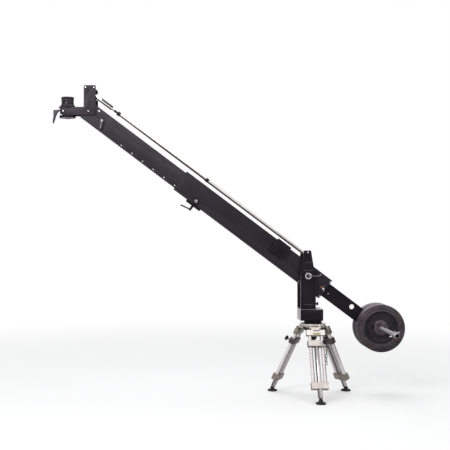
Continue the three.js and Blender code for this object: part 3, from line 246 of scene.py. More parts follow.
@dataclass(frozen=True)
class Finish:
    """A coated or bare surface: two tones, grain, roughness, worn edges and painted shade on faces that look
    along lean.
    """

    name: str
    colour: Colour
    shade: Colour
    rough: Pair = (0.42, 0.56)
    metallic: float = 0.0
    specular: float = 0.3
    drift: float = 9.0
    grain: float = 1400.0
    grain_depth: float = 0.00002
    worn: Colour | None = None
    wear_width: float = 0.0012
    wear_start: float = 0.5
    stretch: Point = EVEN
    turn: float = 0.0
    coat: float = 0.0
    lean: Point | None = None
    lean_range: Pair = (-0.4, 0.7)
    # Painted shade: the colour that faces looking along lean fade to, over lean_range.
    painted_shade: Colour = (0.1, 0.1, 0.1)

    @cache
    def material(self) -> bpy.types.Material:
        """Makes the finish's material, once.

        Returns:
            The material.
        """
        sheet = ShaderSheet(self.name)
        broad = sheet.noise(self.drift, 4.0, self.stretch, self.turn)
        colour = sheet.blend(sheet.fade(broad, 0.32, 0.68), self.colour, self.shade)
        # Painted shade on the faces that look along lean.
        if self.lean is not None:
            colour = sheet.blend(sheet.fade(sheet.facing(self.lean), *self.lean_range), colour, self.painted_shade)
        fine = sheet.noise(self.grain, 2.0, self.stretch, self.turn)
        smudge = sheet.noise(self.drift * 3.1, 5.0)
        normal = sheet.rounded(self.wear_width)
        if self.worn is not None:
            patchy = sheet.fade(sheet.noise(160.0, 4.0), self.wear_start, self.wear_start + 0.12)
            colour = sheet.blend(sheet.times(sheet.edges(normal), patchy), colour, self.worn)
        sheet.feed(sheet.shader, {
            "Metallic": self.metallic, "Specular IOR Level": self.specular, "Coat Weight": self.coat,
            "Base Color": colour, "Roughness": sheet.fade(smudge, 0.25, 0.75, *self.rough),
            "Normal": sheet.bump(fine, self.grain_depth, normal)})
        return sheet.material


@dataclass(frozen=True)
class IronFinish:
    """Old cast iron of a weight plate: dark paint, rust, chips, rough casting skin, dust and painted light on
    top, painted shade low.
    """

    name: str = "old_iron"
    paint: Colour = (0.026, 0.021, 0.026)
    dust: Colour = (0.062, 0.048, 0.056)
    rust: Colour = (0.095, 0.050, 0.038)
    chip_warm: Colour = (0.20, 0.100, 0.055)
    chip_pale: Colour = (0.20, 0.145, 0.15)
    # Dust and painted light: the colour of faces that look up.
    top_dust_and_light: Colour = (0.185, 0.155, 0.185)
    # Painted shade: darker towards the bottom, fading in between the two heights below.
    low_shade: Colour = (0.0090, 0.0072, 0.0088)
    low_shade_heights: Pair = (0.27, 0.40)

    @cache
    def material(self) -> bpy.types.Material:
        """Makes the finish's material, once.

        Returns:
            The material.
        """
        sheet = ShaderSheet(self.name)
        cloud = sheet.noise(16.0, 7.0, rough=0.66)
        colour = sheet.blend(sheet.fade(cloud, 0.38, 0.64), self.paint, self.dust)
        rust = sheet.fade(sheet.noise(31.0, 7.0, rough=0.7), 0.54, 0.68)
        colour = sheet.blend(rust, colour, self.rust)
        # Dust and painted light on the faces that look up.
        dust_and_light_on_top = sheet.times(sheet.fade(sheet.facing((0.0, 0.0, 1.0)), 0.25, 0.95),
                              sheet.fade(sheet.noise(40.0, 5.0), 0.3, 0.55, 0.55, 1.0))
        colour = sheet.blend(dust_and_light_on_top, colour, self.top_dust_and_light)
        # Painted shade: darker towards the bottom of the plate.
        low = sheet.times(sheet.fade(sheet.height(), *self.low_shade_heights, 0.9, 0.0),
                          sheet.fade(sheet.noise(24.0, 5.0), 0.25, 0.55, 0.6, 1.0))
        colour = sheet.blend(low, colour, self.low_shade)
        for size, start, tone in ((52.0, 0.655, self.chip_warm), (71.0, 0.645, self.chip_pale)):
            chips = sheet.fade(sheet.noise(size, 5.0, (1.0, 1.0, 0.8), rough=0.6), start, start + 0.03)
            colour = sheet.blend(chips, colour, tone)
        normal = sheet.rounded(0.002)
        edge = sheet.times(sheet.edges(normal), sheet.fade(sheet.noise(90.0, 4.0), 0.45, 0.6))
        coarse = sheet.bump(sheet.noise(230.0, 4.0), 0.0006, normal)
        sheet.feed(sheet.shader, {
            "Metallic": 0.1, "Specular IOR Level": 0.2,
            "Base Color": sheet.blend(edge, colour, self.chip_pale),
            "Roughness": sheet.fade(cloud, 0.3, 0.7, 0.5, 0.76),
            "Normal": sheet.bump(sheet.noise(60.0, 3.0), 0.0009, coarse)})
        return sheet.material


AnyFinish = Finish | IronFinish

PAINT = Finish("black_paint", (0.0084, 0.0068, 0.0100), (0.0132, 0.0108, 0.0155), (0.42, 0.54),
               specular=0.07, worn=(0.06, 0.055, 0.066), wear_width=0.0014)
TAIL_PAINT = Finish("tail_paint", (0.0088, 0.0070, 0.0100), (0.0130, 0.0104, 0.0148), (0.42, 0.54),
                    specular=0.06, worn=(0.05, 0.045, 0.055), wear_start=0.52)
# Darker copy of the inner arm's paint for the outer tube: painted shade of the light falling off towards the
# tower.
OUTER_SHADED_PAINT = Finish("outer_arm_shaded_paint", (0.0120, 0.0096, 0.0142), (0.0185, 0.0150, 0.0215), (0.40, 0.52),
                     specular=0.14, drift=5.0, worn=(0.07, 0.06, 0.076), wear_width=0.0014, turn=ARM_TILT,
                     stretch=(0.45, 1.0, 1.0))
ARM_PAINT = replace(OUTER_SHADED_PAINT, name="inner_arm_paint", colour=(0.0158, 0.0126, 0.0182),
                    shade=(0.0232, 0.0188, 0.0268), specular=0.16, worn=(0.08, 0.070, 0.086))
HEAD_PAINT = Finish("head_paint", (0.0215, 0.0172, 0.0230), (0.0300, 0.0245, 0.0320), (0.42, 0.55),
                    specular=0.16, worn=(0.10, 0.09, 0.105), wear_width=0.0014)
NUT_BLACK = Finish("nut_black", (0.0140, 0.0115, 0.0140), (0.0205, 0.0170, 0.0200), (0.34, 0.46),
                   specular=0.05, drift=30.0, worn=(0.05, 0.045, 0.05), wear_width=0.0006, wear_start=0.58,
                   coat=0.22)
# Painted highlight for edges that catch the light.
LEDGE_HIGHLIGHT = Finish("ledge_highlight", (0.030, 0.027, 0.034), (0.060, 0.055, 0.066), (0.42, 0.55), specular=0.2,
               drift=60.0)
LEVER_GREY = Finish("lever_grey", (0.088, 0.082, 0.098), (0.125, 0.118, 0.14), (0.34, 0.48), metallic=0.1,
                    drift=40.0)
HANDLE_GREY = Finish("handle_grey", (0.030, 0.029, 0.040), (0.044, 0.043, 0.057), (0.36, 0.5), specular=0.25,
                     drift=30.0, worn=(0.12, 0.12, 0.14))
LEVER_STEEL = Finish("lever_steel", (0.27, 0.255, 0.275), (0.36, 0.345, 0.37), (0.3, 0.44), metallic=0.6,
                     specular=0.4, drift=40.0, worn=(0.6, 0.6, 0.62), wear_width=0.0008)
# Lighter paint for the tower plates' left edges, which face the left lamp: painted light.
LIT_EDGE = Finish("lit_plate_edge", (0.135, 0.128, 0.150), (0.20, 0.19, 0.22), (0.36, 0.5), metallic=0.2,
                   specular=0.4, drift=30.0)
# Bare machined metal; its lightness on the block's left and top faces, towards the lamps, is partly painted
# light.
BLOCK_MACHINED_AND_LIT = Finish("block_machined_and_lit", (0.26, 0.245, 0.28), (0.33, 0.315, 0.35), (0.3, 0.42), metallic=0.45,
                    specular=0.5, drift=30.0, stretch=(1.0, 1.0, 0.08), worn=(0.6, 0.6, 0.63))
PLASTIC = Finish("black_moulding", (0.0070, 0.0058, 0.0075), (0.0115, 0.0098, 0.0125), (0.42, 0.58),
                 specular=0.16, drift=24.0, grain=2200.0, grain_depth=0.00005, worn=(0.035, 0.033, 0.036),
                 wear_width=0.001)
RUBBER = Finish("ribbed_rubber", (0.02, 0.02, 0.02), (0.032, 0.031, 0.03), (0.72, 0.86), specular=0.2,
                drift=30.0, grain=700.0, grain_depth=0.00012, worn=(0.07, 0.066, 0.06), wear_width=0.002)
CHROME = Finish("chrome", (0.62, 0.60, 0.62), (0.72, 0.70, 0.72), (0.14, 0.26), metallic=1.0, drift=22.0,
                grain=900.0, grain_depth=0.000008, worn=(0.9, 0.9, 0.92), wear_width=0.001)
# Painted shade on the bar's underside, through lean.
BAR_STEEL = Finish("bar_steel", (0.50, 0.46, 0.49), (0.62, 0.58, 0.61), (0.3, 0.42), metallic=0.5,
                   specular=0.5, drift=22.0, grain=900.0, grain_depth=0.00001, lean=(0.25, 0.0, -0.97),
                   lean_range=(-0.55, 0.25), painted_shade=(0.10, 0.085, 0.09))
# Painted shade on the collar's underside, through lean.
COLLAR_CHROME = Finish("collar_chrome", (0.27, 0.255, 0.27), (0.40, 0.38, 0.40), (0.22, 0.34), metallic=0.7,
                       specular=0.5, drift=50.0, lean=(0.0, 0.0, -1.0), lean_range=(-0.3, 0.6),
                       painted_shade=(0.06, 0.052, 0.056), worn=(0.8, 0.8, 0.82), wear_width=0.0010, wear_start=0.4)
BOLT = Finish("bolt_steel", (0.26, 0.25, 0.27), (0.38, 0.37, 0.39), (0.26, 0.4), metallic=0.6, specular=0.5,
              drift=60.0, grain=1200.0, worn=(0.7, 0.7, 0.72), wear_width=0.0008)
# Painted shade on the rods' undersides, through lean.
ROD_STEEL = Finish("rod_steel", (0.60, 0.55, 0.545), (0.71, 0.67, 0.66), (0.2, 0.32), metallic=0.9,
                   drift=18.0,
                   stretch=(0.1, 1.0, 1.0), turn=ARM_TILT, grain=700.0, grain_depth=0.00001,
                   lean=(-0.601, 0.0, -0.799), lean_range=(-0.85, 0.75), painted_shade=(0.075, 0.055, 0.052))
FRONT_STEEL = replace(ROD_STEEL, name="front_rod_steel", colour=(0.66, 0.61, 0.60), shade=(0.76, 0.72, 0.71),
                      lean_range=(-0.62, -0.05), painted_shade=(0.105, 0.078, 0.076))
# The front rod's steel with its painted shade reaching less far up, so the fork end reads lighter.
FORK_STEEL = replace(FRONT_STEEL, name="front_fork_steel", lean_range=(-0.05, 0.45))
DARK_STEEL = Finish("browned_steel", (0.045, 0.038, 0.041), (0.070, 0.061, 0.064), (0.3, 0.44), metallic=0.6,
                    drift=26.0, grain=900.0, worn=(0.2, 0.18, 0.18), wear_width=0.0007)
ALUMINIUM = Finish("raw_aluminium", (0.40, 0.39, 0.40), (0.52, 0.51, 0.52), (0.28, 0.42), metallic=0.9,
                   drift=16.0, grain=1100.0, worn=(0.8, 0.8, 0.8))
BOWL_CAST = Finish("bowl_cast", (0.45, 0.405, 0.365), (0.62, 0.575, 0.53), (0.34, 0.5), metallic=0.75,
                   drift=28.0, grain=520.0, grain_depth=0.00006, worn=(0.85, 0.82, 0.78), wear_width=0.0018)
BOWL_SHADE = Finish("bowl_underside", (0.030, 0.025, 0.023), (0.055, 0.048, 0.044), (0.45, 0.6), metallic=0.2,
                    drift=28.0, grain=520.0, grain_depth=0.00006)
# Painted shade on the tubes' side towards +X.
LEG_TUBE = Finish("polished_leg_tube", (0.57, 0.525, 0.54), (0.70, 0.65, 0.665), (0.22, 0.36), metallic=0.7,
                  drift=14.0, stretch=(1.0, 1.0, 0.12), grain=900.0, grain_depth=0.00001,
                  lean=(0.93, 0.1, -0.35), lean_range=(-0.10, 0.80), painted_shade=(0.17, 0.138, 0.142))
# Painted shade on the inner tubes' side towards -X.
INNER_TUBE = replace(LEG_TUBE, name="leg_inner_chrome", colour=(0.34, 0.31, 0.32), shade=(0.46, 0.43, 0.44),
                     rough=(0.14, 0.26), metallic=0.8, lean=(-0.93, 0.1, -0.35), lean_range=(0.0, 0.75),
                     painted_shade=(0.08, 0.065, 0.07))
# Lit copy of the bronze casting for its outer faces: painted highlight.
LIT_CAST = Finish("cast_lit_face", (0.66, 0.605, 0.55), (0.78, 0.73, 0.675), (0.36, 0.5), metallic=0.2, specular=0.4,
               drift=34.0, grain=600.0, grain_depth=0.00005, worn=(0.36, 0.29, 0.22), wear_width=0.0018,
               wear_start=0.46)
# Lit copy of the collar's bronze for its outer faces: painted highlight.
COLLAR_LIT_CAST = replace(LIT_CAST, name="collar_lit_face", colour=(0.51, 0.45, 0.41), shade=(0.63, 0.565, 0.525),
                       worn=(0.28, 0.22, 0.17))
BRONZE = Finish("cast_bronze", (0.135, 0.112, 0.090), (0.250, 0.218, 0.188), (0.34, 0.52), metallic=0.55,
                specular=0.45, drift=34.0, grain=520.0, grain_depth=0.00007, worn=(0.55, 0.49, 0.42),
                wear_width=0.0022, wear_start=0.42)
COLLAR_BRONZE = Finish("collar_bronze", (0.048, 0.037, 0.034), (0.085, 0.067, 0.062), (0.36, 0.52),
                       metallic=0.5, specular=0.4, drift=34.0, grain=520.0, grain_depth=0.00007,
                       worn=(0.36, 0.31, 0.28), wear_width=0.002, wear_start=0.45)
NYLON = Finish("grey_nylon", (0.06, 0.06, 0.065), (0.09, 0.09, 0.095), (0.5, 0.62), drift=20.0)
PALE_PLATE = Finish("pale_plate", (0.30, 0.285, 0.125), (0.37, 0.35, 0.19), (0.3, 0.42), metallic=0.35,
                    specular=0.4, drift=40.0, worn=(0.25, 0.22, 0.12))
# Painted shade for slots, grooves and bores.
GAP_SHADE = Finish("painted_gap_shade", (0.012, 0.010, 0.009), (0.022, 0.018, 0.015), (0.6, 0.75), specular=0.2)
COPPER = Finish("copper_cap", (0.30, 0.078, 0.016), (0.40, 0.11, 0.024), (0.4, 0.55), specular=0.2)
CHAIN = Finish("chain_steel", (0.010, 0.010, 0.020), (0.028, 0.028, 0.045), (0.26, 0.4), specular=0.16,
               drift=60.0)
IRON = IronFinish()
# Darker copy of the iron for the plate's recess: painted shade.
IRON_RECESS_SHADE = IronFinish("old_iron_recess_shade", (0.0065, 0.0058, 0.0085), (0.022, 0.0185, 0.0240),
                       (0.040, 0.024, 0.019), (0.080, 0.046, 0.034), (0.085, 0.065, 0.072),
                       (0.13, 0.105, 0.115))


# Making pieces


def add_object(name: str, data: bpy.types.ID) -> Piece:
    """Adds an object to the scene.

    Args:
        name: its name.
        data: its mesh, camera or lamp.

    Returns:
        The object, at the origin.
    """
    thing = bpy.data.objects.new(name, data)
    bpy.context.scene.collection.objects.link(thing)
    return thing


def lift(mesh: Mesh, smooth: float = 32.0) -> Mesh:
    """Shades a mesh smoothly, but keeps its edges crisp.

    Args:
        mesh: the mesh.
        smooth: edges bent by more than this many degrees stay sharp.

    Returns:
        The same mesh.
    """
    mesh.shade_smooth()
    mesh.set_sharp_from_angle(angle=math.radians(smooth))
    return mesh


def hand_over(mesh: Mesh, name: str, place: Matrix, body: str, finish: AnyFinish,
              nodes: tuple[str, ...] = ()) -> Piece:
    """Makes a piece of a mesh, with its place in its points, and gives it its finish and body.

    Args:
        mesh: the mesh, in its own frame.
        name: the piece's name.
        place: from its own frame to the crane's.
        body: the body that it rides on.
        finish: its finish.
        nodes: the CAD nodes that it stands for.

    Returns:
        The piece, which sits at the origin.
    """
    mesh.transform(place)
    mesh.materials.append(finish.material())
    piece = add_object(name, mesh)
    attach(piece, body)
    if nodes:
        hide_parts(*nodes)
    LOG.info("%s rides on %s in %s", name, body, finish.name)
    return piece


def bevelled(mesh: Mesh, width: float, clamp: bool, angle: float) -> Mesh:
    """Rounds a mesh's edges with a bevel.

    Args:
        mesh: the mesh.
        width: the bevel's width in metres.
        clamp: whether the width gives way to short edges.
        angle: edges bent by more than this many degrees are rounded.

    Returns:
        A new mesh.
    """
    carrier = add_object("carrier", mesh)
    bevel = carrier.modifiers.new("edge", "BEVEL")
    bevel.width = width
    bevel.segments = BEVEL_STEPS
    bevel.limit_method = "ANGLE"
    bevel.angle_limit = math.radians(angle)
    bevel.use_clamp_overlap = clamp
    bevel.miter_outer = "MITER_ARC"
    result = bpy.data.meshes.new_from_object(carrier.evaluated_get(bpy.context.evaluated_depsgraph_get()))
    bpy.data.objects.remove(carrier)
    return result


def volume_of(mesh: Mesh) -> float:
    """Measures a mesh.

    Args:
        mesh: the mesh.

    Returns:
        Its volume in cubic metres.
    """
    body = bmesh.new()
    body.from_mesh(mesh)
    volume = body.calc_volume()
    body.free()
    return volume


def grows(mesh: Mesh, node: str, hair: float = 0.0002) -> bool:
    """Tells whether a mesh sticks out of a CAD node's box.

    Args:
        mesh: the mesh.
        node: the CAD node.
        hair: how far it may stand proud in metres.

    Returns:
        True if a point lies more than a hair outside the box.
    """
    low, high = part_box(node)
    return any(not low[i] - hair <= vertex.co[i] <= high[i] + hair
               for vertex in mesh.vertices for i in range(3))


def dress(node: str, finish: AnyFinish, width: float = 0.0008, angle: float = 40.0,
          smooth: float = 32.0) -> Piece:
    """Makes a piece with softened edges that stands for a CAD node.

    Args:
        node: the CAD node.
        finish: the piece's finish.
        width: the softening's width in metres.
        angle: edges bent by more than this many degrees are softened.
        smooth: edges bent by more than this many degrees stay sharp in the shading.

    Returns:
        The new piece.
    """
    mesh = frame["nodes"][node].data.copy()
    mesh.materials.clear()
    body = bmesh.new()
    body.from_mesh(mesh)
    bmesh.ops.remove_doubles(body, verts=body.verts, dist=WELD)
    bmesh.ops.dissolve_degenerate(body, dist=WELD, edges=body.edges)
    bmesh.ops.dissolve_limit(body, angle_limit=FLAT_BEND, verts=body.verts, edges=body.edges)
    body.to_mesh(mesh)
    body.free()
    result = bevelled(mesh, width, False, angle)
    if abs(volume_of(result) / volume_of(mesh) - 1.0) > VOLUME_SLACK or grows(result, node):
        result = bevelled(mesh, width, True, angle)
        LOG.info("%s is softened within its short edges", node)
    return hand_over(lift(result, smooth), f"{node}_dressed", Matrix.Identity(4), BODY_OF[node],
                     finish, (node,))


def stand_in(node: str, mesh: Mesh, name: str, finish: AnyFinish, place: Matrix,
             aim: Point | None = None) -> Piece:
    """Puts a mesh in place of a CAD node's plain solid, with its Z axis along aim if that is given."""
    return hand_over(mesh, name, place @ facing(aim), BODY_OF[node], finish, (node,))


def paint_faces(piece: Piece, finish: AnyFinish, chosen: Callable[[Vector, Vector], bool]) -> None:
    """Gives some faces of a piece another finish.

    Args:
        piece: the piece.
        finish: the other finish.
        chosen: tells from a face's normal and middle whether it gets the finish.
    """
    piece.data.materials.append(finish.material())
    last = len(piece.data.materials) - 1
    for polygon in piece.data.polygons:
        if chosen(polygon.normal, polygon.center):
            polygon.material_index = last


def skin(body: bmesh.types.BMesh, rings: list[list[bmesh.types.BMVert]]) -> None:
    """Joins each ring of points to the next with faces.

    Args:
        body: the mesh under construction.
        rings: the rings, where one of a single point is a tip.
    """
    sides = max(map(len, rings))
    for low, high in zip(rings, rings[1:]):
        for i in range(sides):
            j = (i + 1) % sides
            corners = (low[i % len(low)], low[j % len(low)], high[j % len(high)], high[i % len(high)])
            unique = list(dict.fromkeys(corners))
            if len(unique) > 2:
                body.faces.new(unique)


def closed(body: bmesh.types.BMesh, name: str) -> Mesh:
    """Ends a mesh under construction, with its faces outward.

    Args:
        body: the mesh under construction.
        name: the mesh's name.

    Returns:
        The mesh.
    """
    bmesh.ops.recalc_face_normals(body, faces=body.faces)
    mesh = bpy.data.meshes.new(name)
    body.to_mesh(mesh)
    body.free()
    return mesh


def turned(name: str, profile: Profile, sides: int = 48, lobes: int = 8, bite: float = 0.12) -> Mesh:
    """Turns a profile round the Z axis.

    Args:
        name: the mesh's name.
        profile: (radius, height) or (radius, height, cut) points from one end to the other.
        sides: number of points round the axis.
        lobes: number of lobes of a lobed ring.
        bite: depth of the hollows between lobes, as a share of the radius.

    Returns:
        The mesh.
    """
    body = bmesh.new()
    rings = []
    for radius, height, *cuts in profile:
        if radius <= 0:
            rings.append([body.verts.new((0.0, 0.0, height))])
            continue
        ring = []
        for i in range(sides):
            angle = math.tau * i / sides
            reach = radius
            if HEX in cuts:
                reach = radius / math.cos(angle % (math.pi / 3) - math.pi / 6)
            elif LOBED in cuts:
                reach = radius * (1.0 - bite * (0.5 - 0.5 * math.cos(lobes * angle)))
            ring.append(body.verts.new((reach * math.cos(angle), reach * math.sin(angle), height)))
        rings.append(ring)
    skin(body, rings)
    return lift(closed(body, name))


def slab(name: str, outline: list[Pair], near: float, far: float, width: float = 0.0008) -> Mesh:
    """Makes a plate in the XZ plane with softened edges.

    Args:
        name: the mesh's name.
        outline: (x, z) corners.
        near: the lower Y.
        far: the higher Y.
        width: the softening's width.

    Returns:
        The mesh.
    """
    body = bmesh.new()
    front = [body.verts.new((x, near, z)) for x, z in outline]
    back = [body.verts.new((x, far, z)) for x, z in outline]
    body.faces.new(front)
    body.faces.new(back[::-1])
    skin(body, [front, back])
    return lift(bevelled(closed(body, name), width, True, 30.0))


def rounded_box(x0: float, x1: float, z0: float, z1: float, corner: float, steps: int = 4) -> list[Pair]:
    """Gives the outline of a rectangle with rounded corners.

    Args:
        x0: left side.
        x1: right side.
        z0: lower side.
        z1: upper side.
        corner: the corners' radius.
        steps: segments of each corner.

    Returns:
        (x, z) corners.
    """
    points = []
    middles = [(x1 - corner, z1 - corner), (x0 + corner, z1 - corner), (x0 + corner, z0 + corner),
               (x1 - corner, z0 + corner)]
    for quarter, (cx, cz) in enumerate(middles):
        for i in range(steps + 1):
            angle = math.pi / 2 * (quarter + i / steps)
            points.append((cx + corner * math.cos(angle), cz + corner * math.sin(angle)))
    return points


def swept(name: str, path: list[Point], radii: list[float], sides: int = 20) -> Mesh:
    """Sweeps a round section along a path, with rounded ends.

    Args:
        name: the mesh's name.
        path: the section's middles.
        radii: the section's radius at each.
        sides: number of points round the section.

    Returns:
        The mesh.
    """
    points = [Vector(p) for p in path]
    body = bmesh.new()
    rings = []
    side = Vector(FAR)
    for i, point in enumerate(points):
        ahead = points[min(i + 1, len(points) - 1)] - points[max(i - 1, 0)]
        ahead.normalize()
        side = (side - ahead * side.dot(ahead)).normalized()
        up = ahead.cross(side)
        spans = [(0.0, 1.0)]
        if i == 0:
            spans = [(-0.8, 0.45), (-0.45, 0.82), (0.0, 1.0)]
        elif i == len(points) - 1:
            spans = [(0.0, 1.0), (0.45, 0.82), (0.8, 0.45)]
        for shift, share in spans:
            ring = []
            for k in range(sides):
                angle = math.tau * k / sides
                offset = side * math.cos(angle) + up * math.sin(angle)
                ring.append(body.verts.new(point + ahead * shift * radii[i] + offset * radii[i] * share))
            rings.append(ring)
    skin(body, rings)
    body.faces.new(rings[0][::-1])
    body.faces.new(rings[-1])
    return lift(closed(body, name), 50.0)


def facing(direction: Point | None) -> Matrix:
    """Gives the turn that brings the Z axis to a direction, if one is given.

    Args:
        direction: the direction, or None for no turn.

    Returns:
        The turn.
    """
    if direction is None:
        return Matrix.Identity(4)
    return Vector(direction).normalized().to_track_quat("Z", "Y").to_matrix().to_4x4()


def screw_mesh(name: str, radius: float, height: float) -> Mesh:
    """Makes a socket head screw with its head up the Z axis.

    Args:
        name: the mesh's name.
        radius: the head's radius.
        height: the head's height.

    Returns:
        The mesh.
    """
    edge = radius * 0.12
    socket = radius * 0.5
    return turned(name, [(0.0, 0.0), (radius, 0.0), (radius, height - edge), (radius - edge, height),
                         (socket + edge / 2, height), (socket, height - edge / 2, HEX),
                         (socket, height * 0.4, HEX), (0.0, height * 0.35)], 36)


def knob_profile(radius: float, depth: float, hub: float, shank: float, length: float,
                 start: float = 0.0) -> Profile:
    """Gives the profile of a lobed hand knob on its shank, from its back to its front.

    Args:
        radius: the knob's radius.
        depth: the knob's depth.
        hub: the radius of the knob's back.
        shank: the shank's radius.
        length: the shank's length.
        start: the height at which the shank starts.

    Returns:
        The profile.
    """
    back = start + length
    edge = depth * 0.16
    grip = [(hub, 0.0), (hub, depth * 0.2), (radius * 0.8, depth * 0.24),
            (radius - edge * 0.4, depth * 0.3, LOBED), (radius, depth * 0.3 + edge, LOBED),
            (radius, depth - edge, LOBED), (radius - edge * 0.7, depth, LOBED), (radius * 0.55, depth),
            (radius * 0.5, depth - edge * 0.5), (radius * 0.22, depth - edge * 0.5),
            (radius * 0.2, depth * 0.96),
            (0.0, depth)]
    return [(0.0, start), (shank, start), (shank, back), *[(r, h + back, *cuts) for r, h, *cuts in grip]]


@dataclass
class Station:
    """A place on the crane that pieces are made in: its frame, and the body that they ride on."""

    place: Matrix
    body: str

    def put(self, mesh: Mesh, name: str, slot_shade: str, finish: AnyFinish, at: Point = ORIGIN,
            aim: Point | None = None) -> Piece:
        """Puts a mesh at a point of the station, with its Z axis along aim if that is given."""
        own = Matrix.Translation(at) @ facing(aim)
        return hand_over(mesh, name, self.place @ own, self.body, finish)

    def screw(self, name: str, at: Point, aim: Point, radius: float, height: float,
              finish: Finish = BOLT) -> Piece:
        """Puts a socket head screw at a point, with its head along a direction."""
        return self.put(screw_mesh(name, radius, height), name, "bright_steel", finish, at, aim)


def box_of(node: str) -> tuple[Vector, Vector, Vector]:
    """Gives the low corner, the middle and the high corner of a CAD node's box."""
    low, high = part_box(node)
    return low, (low + high) / 2, high


def pivot_of(node: str) -> Vector:
    """Gives the middle of a pin's box, moved to the crane's mid plane."""
    middle = box_of(node)[1]
    return Vector((middle.x, 0.0, middle.z))


PAN_X = box_of("ball_clamp_knob")[1].x
PIVOT = pivot_of("main_axle")
TILT = Matrix.Rotation(ARM_TILT, 4, "Y")
TOWER = Station(Matrix.Translation(PIVOT), "tower")
OUTER_ARM = Station(Matrix.Translation(PIVOT) @ TILT, "arm")
INNER_ARM = replace(OUTER_ARM, body="inner_arm")
FRONT_ROD = Station(Matrix.Translation(PIVOT + Vector((0.0, 0.0, ROD_RISE))) @ TILT, "rod_front")
HEAD = Station(Matrix.Translation(pivot_of("head_pin")), "head")


# The crane's sub-assemblies


@dataclass
class Stand:
    """The bowl, the levelling ball and the three legs. Places on a leg are measured from its hinge."""

    hinge_radius: float = 0.079
    hinge_height: float = 0.4362
    ring_depth: float = 0.012
    crosshead_top: float = -0.345
    collar_height: float = -0.102
    collar_half: float = 0.0530
    knob_at: Pair = (0.048, -0.0303)
    hinge_half: float = 0.0575
    plate_at: Point = (0.0045, 0.0, 0.0)

    def leg_frame(self, name: str) -> Matrix:
        """Gives a leg's frame: its hinge at the origin, the leg down -Z and its outer face at -Y.

        Args:
            name: the leg's name.

        Returns:
            The frame, from the leg to the crane.
        """
        return (Matrix.Translation((PAN_X, 0.0, 0.0)) @ Matrix.Rotation(LEG_TURNS[name], 4, "Z")
                @ Matrix.Translation((0.0, -self.hinge_radius, self.hinge_height))
                @ Matrix.Rotation(-LEG_SPLAY, 4, "X"))

    def paint_lit_faces(self, piece: Piece, name: str, finish: Finish, top: float = 0.1) -> None:
        """Paints the outer faces of a leg's casting in a lit copy of its finish: a painted highlight.

        Args:
            piece: the casting.
            name: the leg's name.
            finish: the lit copy for the outer faces.
            top: faces above this height on the leg are left as they are.
        """
        place = self.leg_frame(name).inverted()
        outward = (self.leg_frame(name).to_3x3() @ Vector(NEAR)).normalized()
        paint_faces(piece, finish, lambda normal, spot: normal.dot(outward) > 0.9 and (place @ spot).z < top)

    def make_bowl(self) -> None:
        """Dresses the bowl, the ball with its neck, and the clamp knob below."""
        bowl = dress("bowl_casting", BOWL_CAST, 0.0009)
        ring = self.hinge_height - self.ring_depth
        paint_faces(bowl, BOWL_SHADE, lambda normal, middle: normal.z < -0.35 or middle.z < ring)
        dress("pan_spigot", PAINT, 0.0012)
        knob = turned("ball_clamp_knob_form", [
            (0.0065, 0.0), (0.015, 0.0), (0.019, 0.004), (0.0235, 0.009, LOBED), (0.0258, 0.013, LOBED),
            (0.0258, 0.028, LOBED), (0.0235, 0.034, LOBED), (0.017, 0.0395), (0.0065, 0.0395)], 72, 9, 0.1)
        low = box_of("ball_clamp_knob")[0]
        stand_in("ball_clamp_knob", knob, "ball_clamp_knob_grip", PLASTIC,
                 Matrix.Translation((PAN_X, 0.0, low.z)))

    def make_leg(self, name: str) -> None:
        """Dresses one leg and adds its small fittings.

        Args:
            name: the leg's name.
        """
        shoulder = dress(f"leg_{name}_shoulder", BRONZE, 0.0016)
        # The outer faces get a lit copy of the casting: painted highlight.
        self.paint_lit_faces(shoulder, name, LIT_CAST)
        collar = dress(f"leg_{name}_collar", COLLAR_BRONZE, 0.0014)
        self.paint_lit_faces(collar, name, COLLAR_LIT_CAST)
        dress(f"leg_{name}_inner", INNER_TUBE, 0.0006)
        place = self.leg_frame(name)
        tubes = dress(f"leg_{name}_tubes", LEG_TUBE)
        paint_faces(tubes, BRONZE, lambda _normal, spot: (place.inverted() @ spot).z < self.crosshead_top)
        # The tubes' outer faces below the crosshead get the lit collar copy: painted highlight.
        self.paint_lit_faces(tubes, name, COLLAR_LIT_CAST, self.crosshead_top)
        fixed = Station(place, f"leg_{name}")
        outline = rounded_box(-0.0235, 0.0235, -0.047, -0.0345, 0.002)
        plate = slab("plate_form", outline, -0.0152, -0.0136, 0.0004)
        fixed.put(plate, f"leg_{name}_bare_plate", "leg_casting", PALE_PLATE, self.plate_at)
        # A dark sheet by the label: the painted shade of a slot.
        slot_shade = slab("slot_form", rounded_box(-0.019, 0.019, -0.022, -0.017, 0.0022), -0.0147, -0.0137, 0.0003)
        fixed.put(slot_shade, f"leg_{name}_slot", "leg_casting", GAP_SHADE, self.plate_at)
        for side, letter in BOTH_SIDES:
            outward = (side, 0.0, 0.0)
            at = (side * self.collar_half, 0.006, self.collar_height)
            fixed.screw(f"leg_{name}_collar_screw_{letter}", at, outward, 0.0042, 0.0035, DARK_STEEL)
            cap = turned("hinge_cap_form", [
                (0.0, 0.0), (0.0095, 0.0), (0.0095, 0.0060), (0.0080, 0.0078), (0.0, 0.0084)], 32)
            fixed.put(cap, f"leg_{name}_hinge_cap_{letter}", "black_plastic",
                      PLASTIC if name == "front" else BRONZE, (side * self.hinge_half, 0.0, 0.0), outward)
        self.make_knob(name)
        self.make_foot(name)

    def make_knob(self, name: str) -> None:
        """Makes a leg's hand knob in place of its plain solid.

        Args:
            name: the leg's name.
        """
        profile = knob_profile(0.0165, 0.0165, 0.009, 0.0042, 0.012, -0.012)
        mesh = turned("leg_knob_form", profile, 72, 6, 0.17)
        place = self.leg_frame(name) @ Matrix.Translation((*self.knob_at, self.collar_height))
        stand_in(f"leg_{name}_knob", mesh, f"leg_{name}_hand_knob", PLASTIC, place, NEAR)

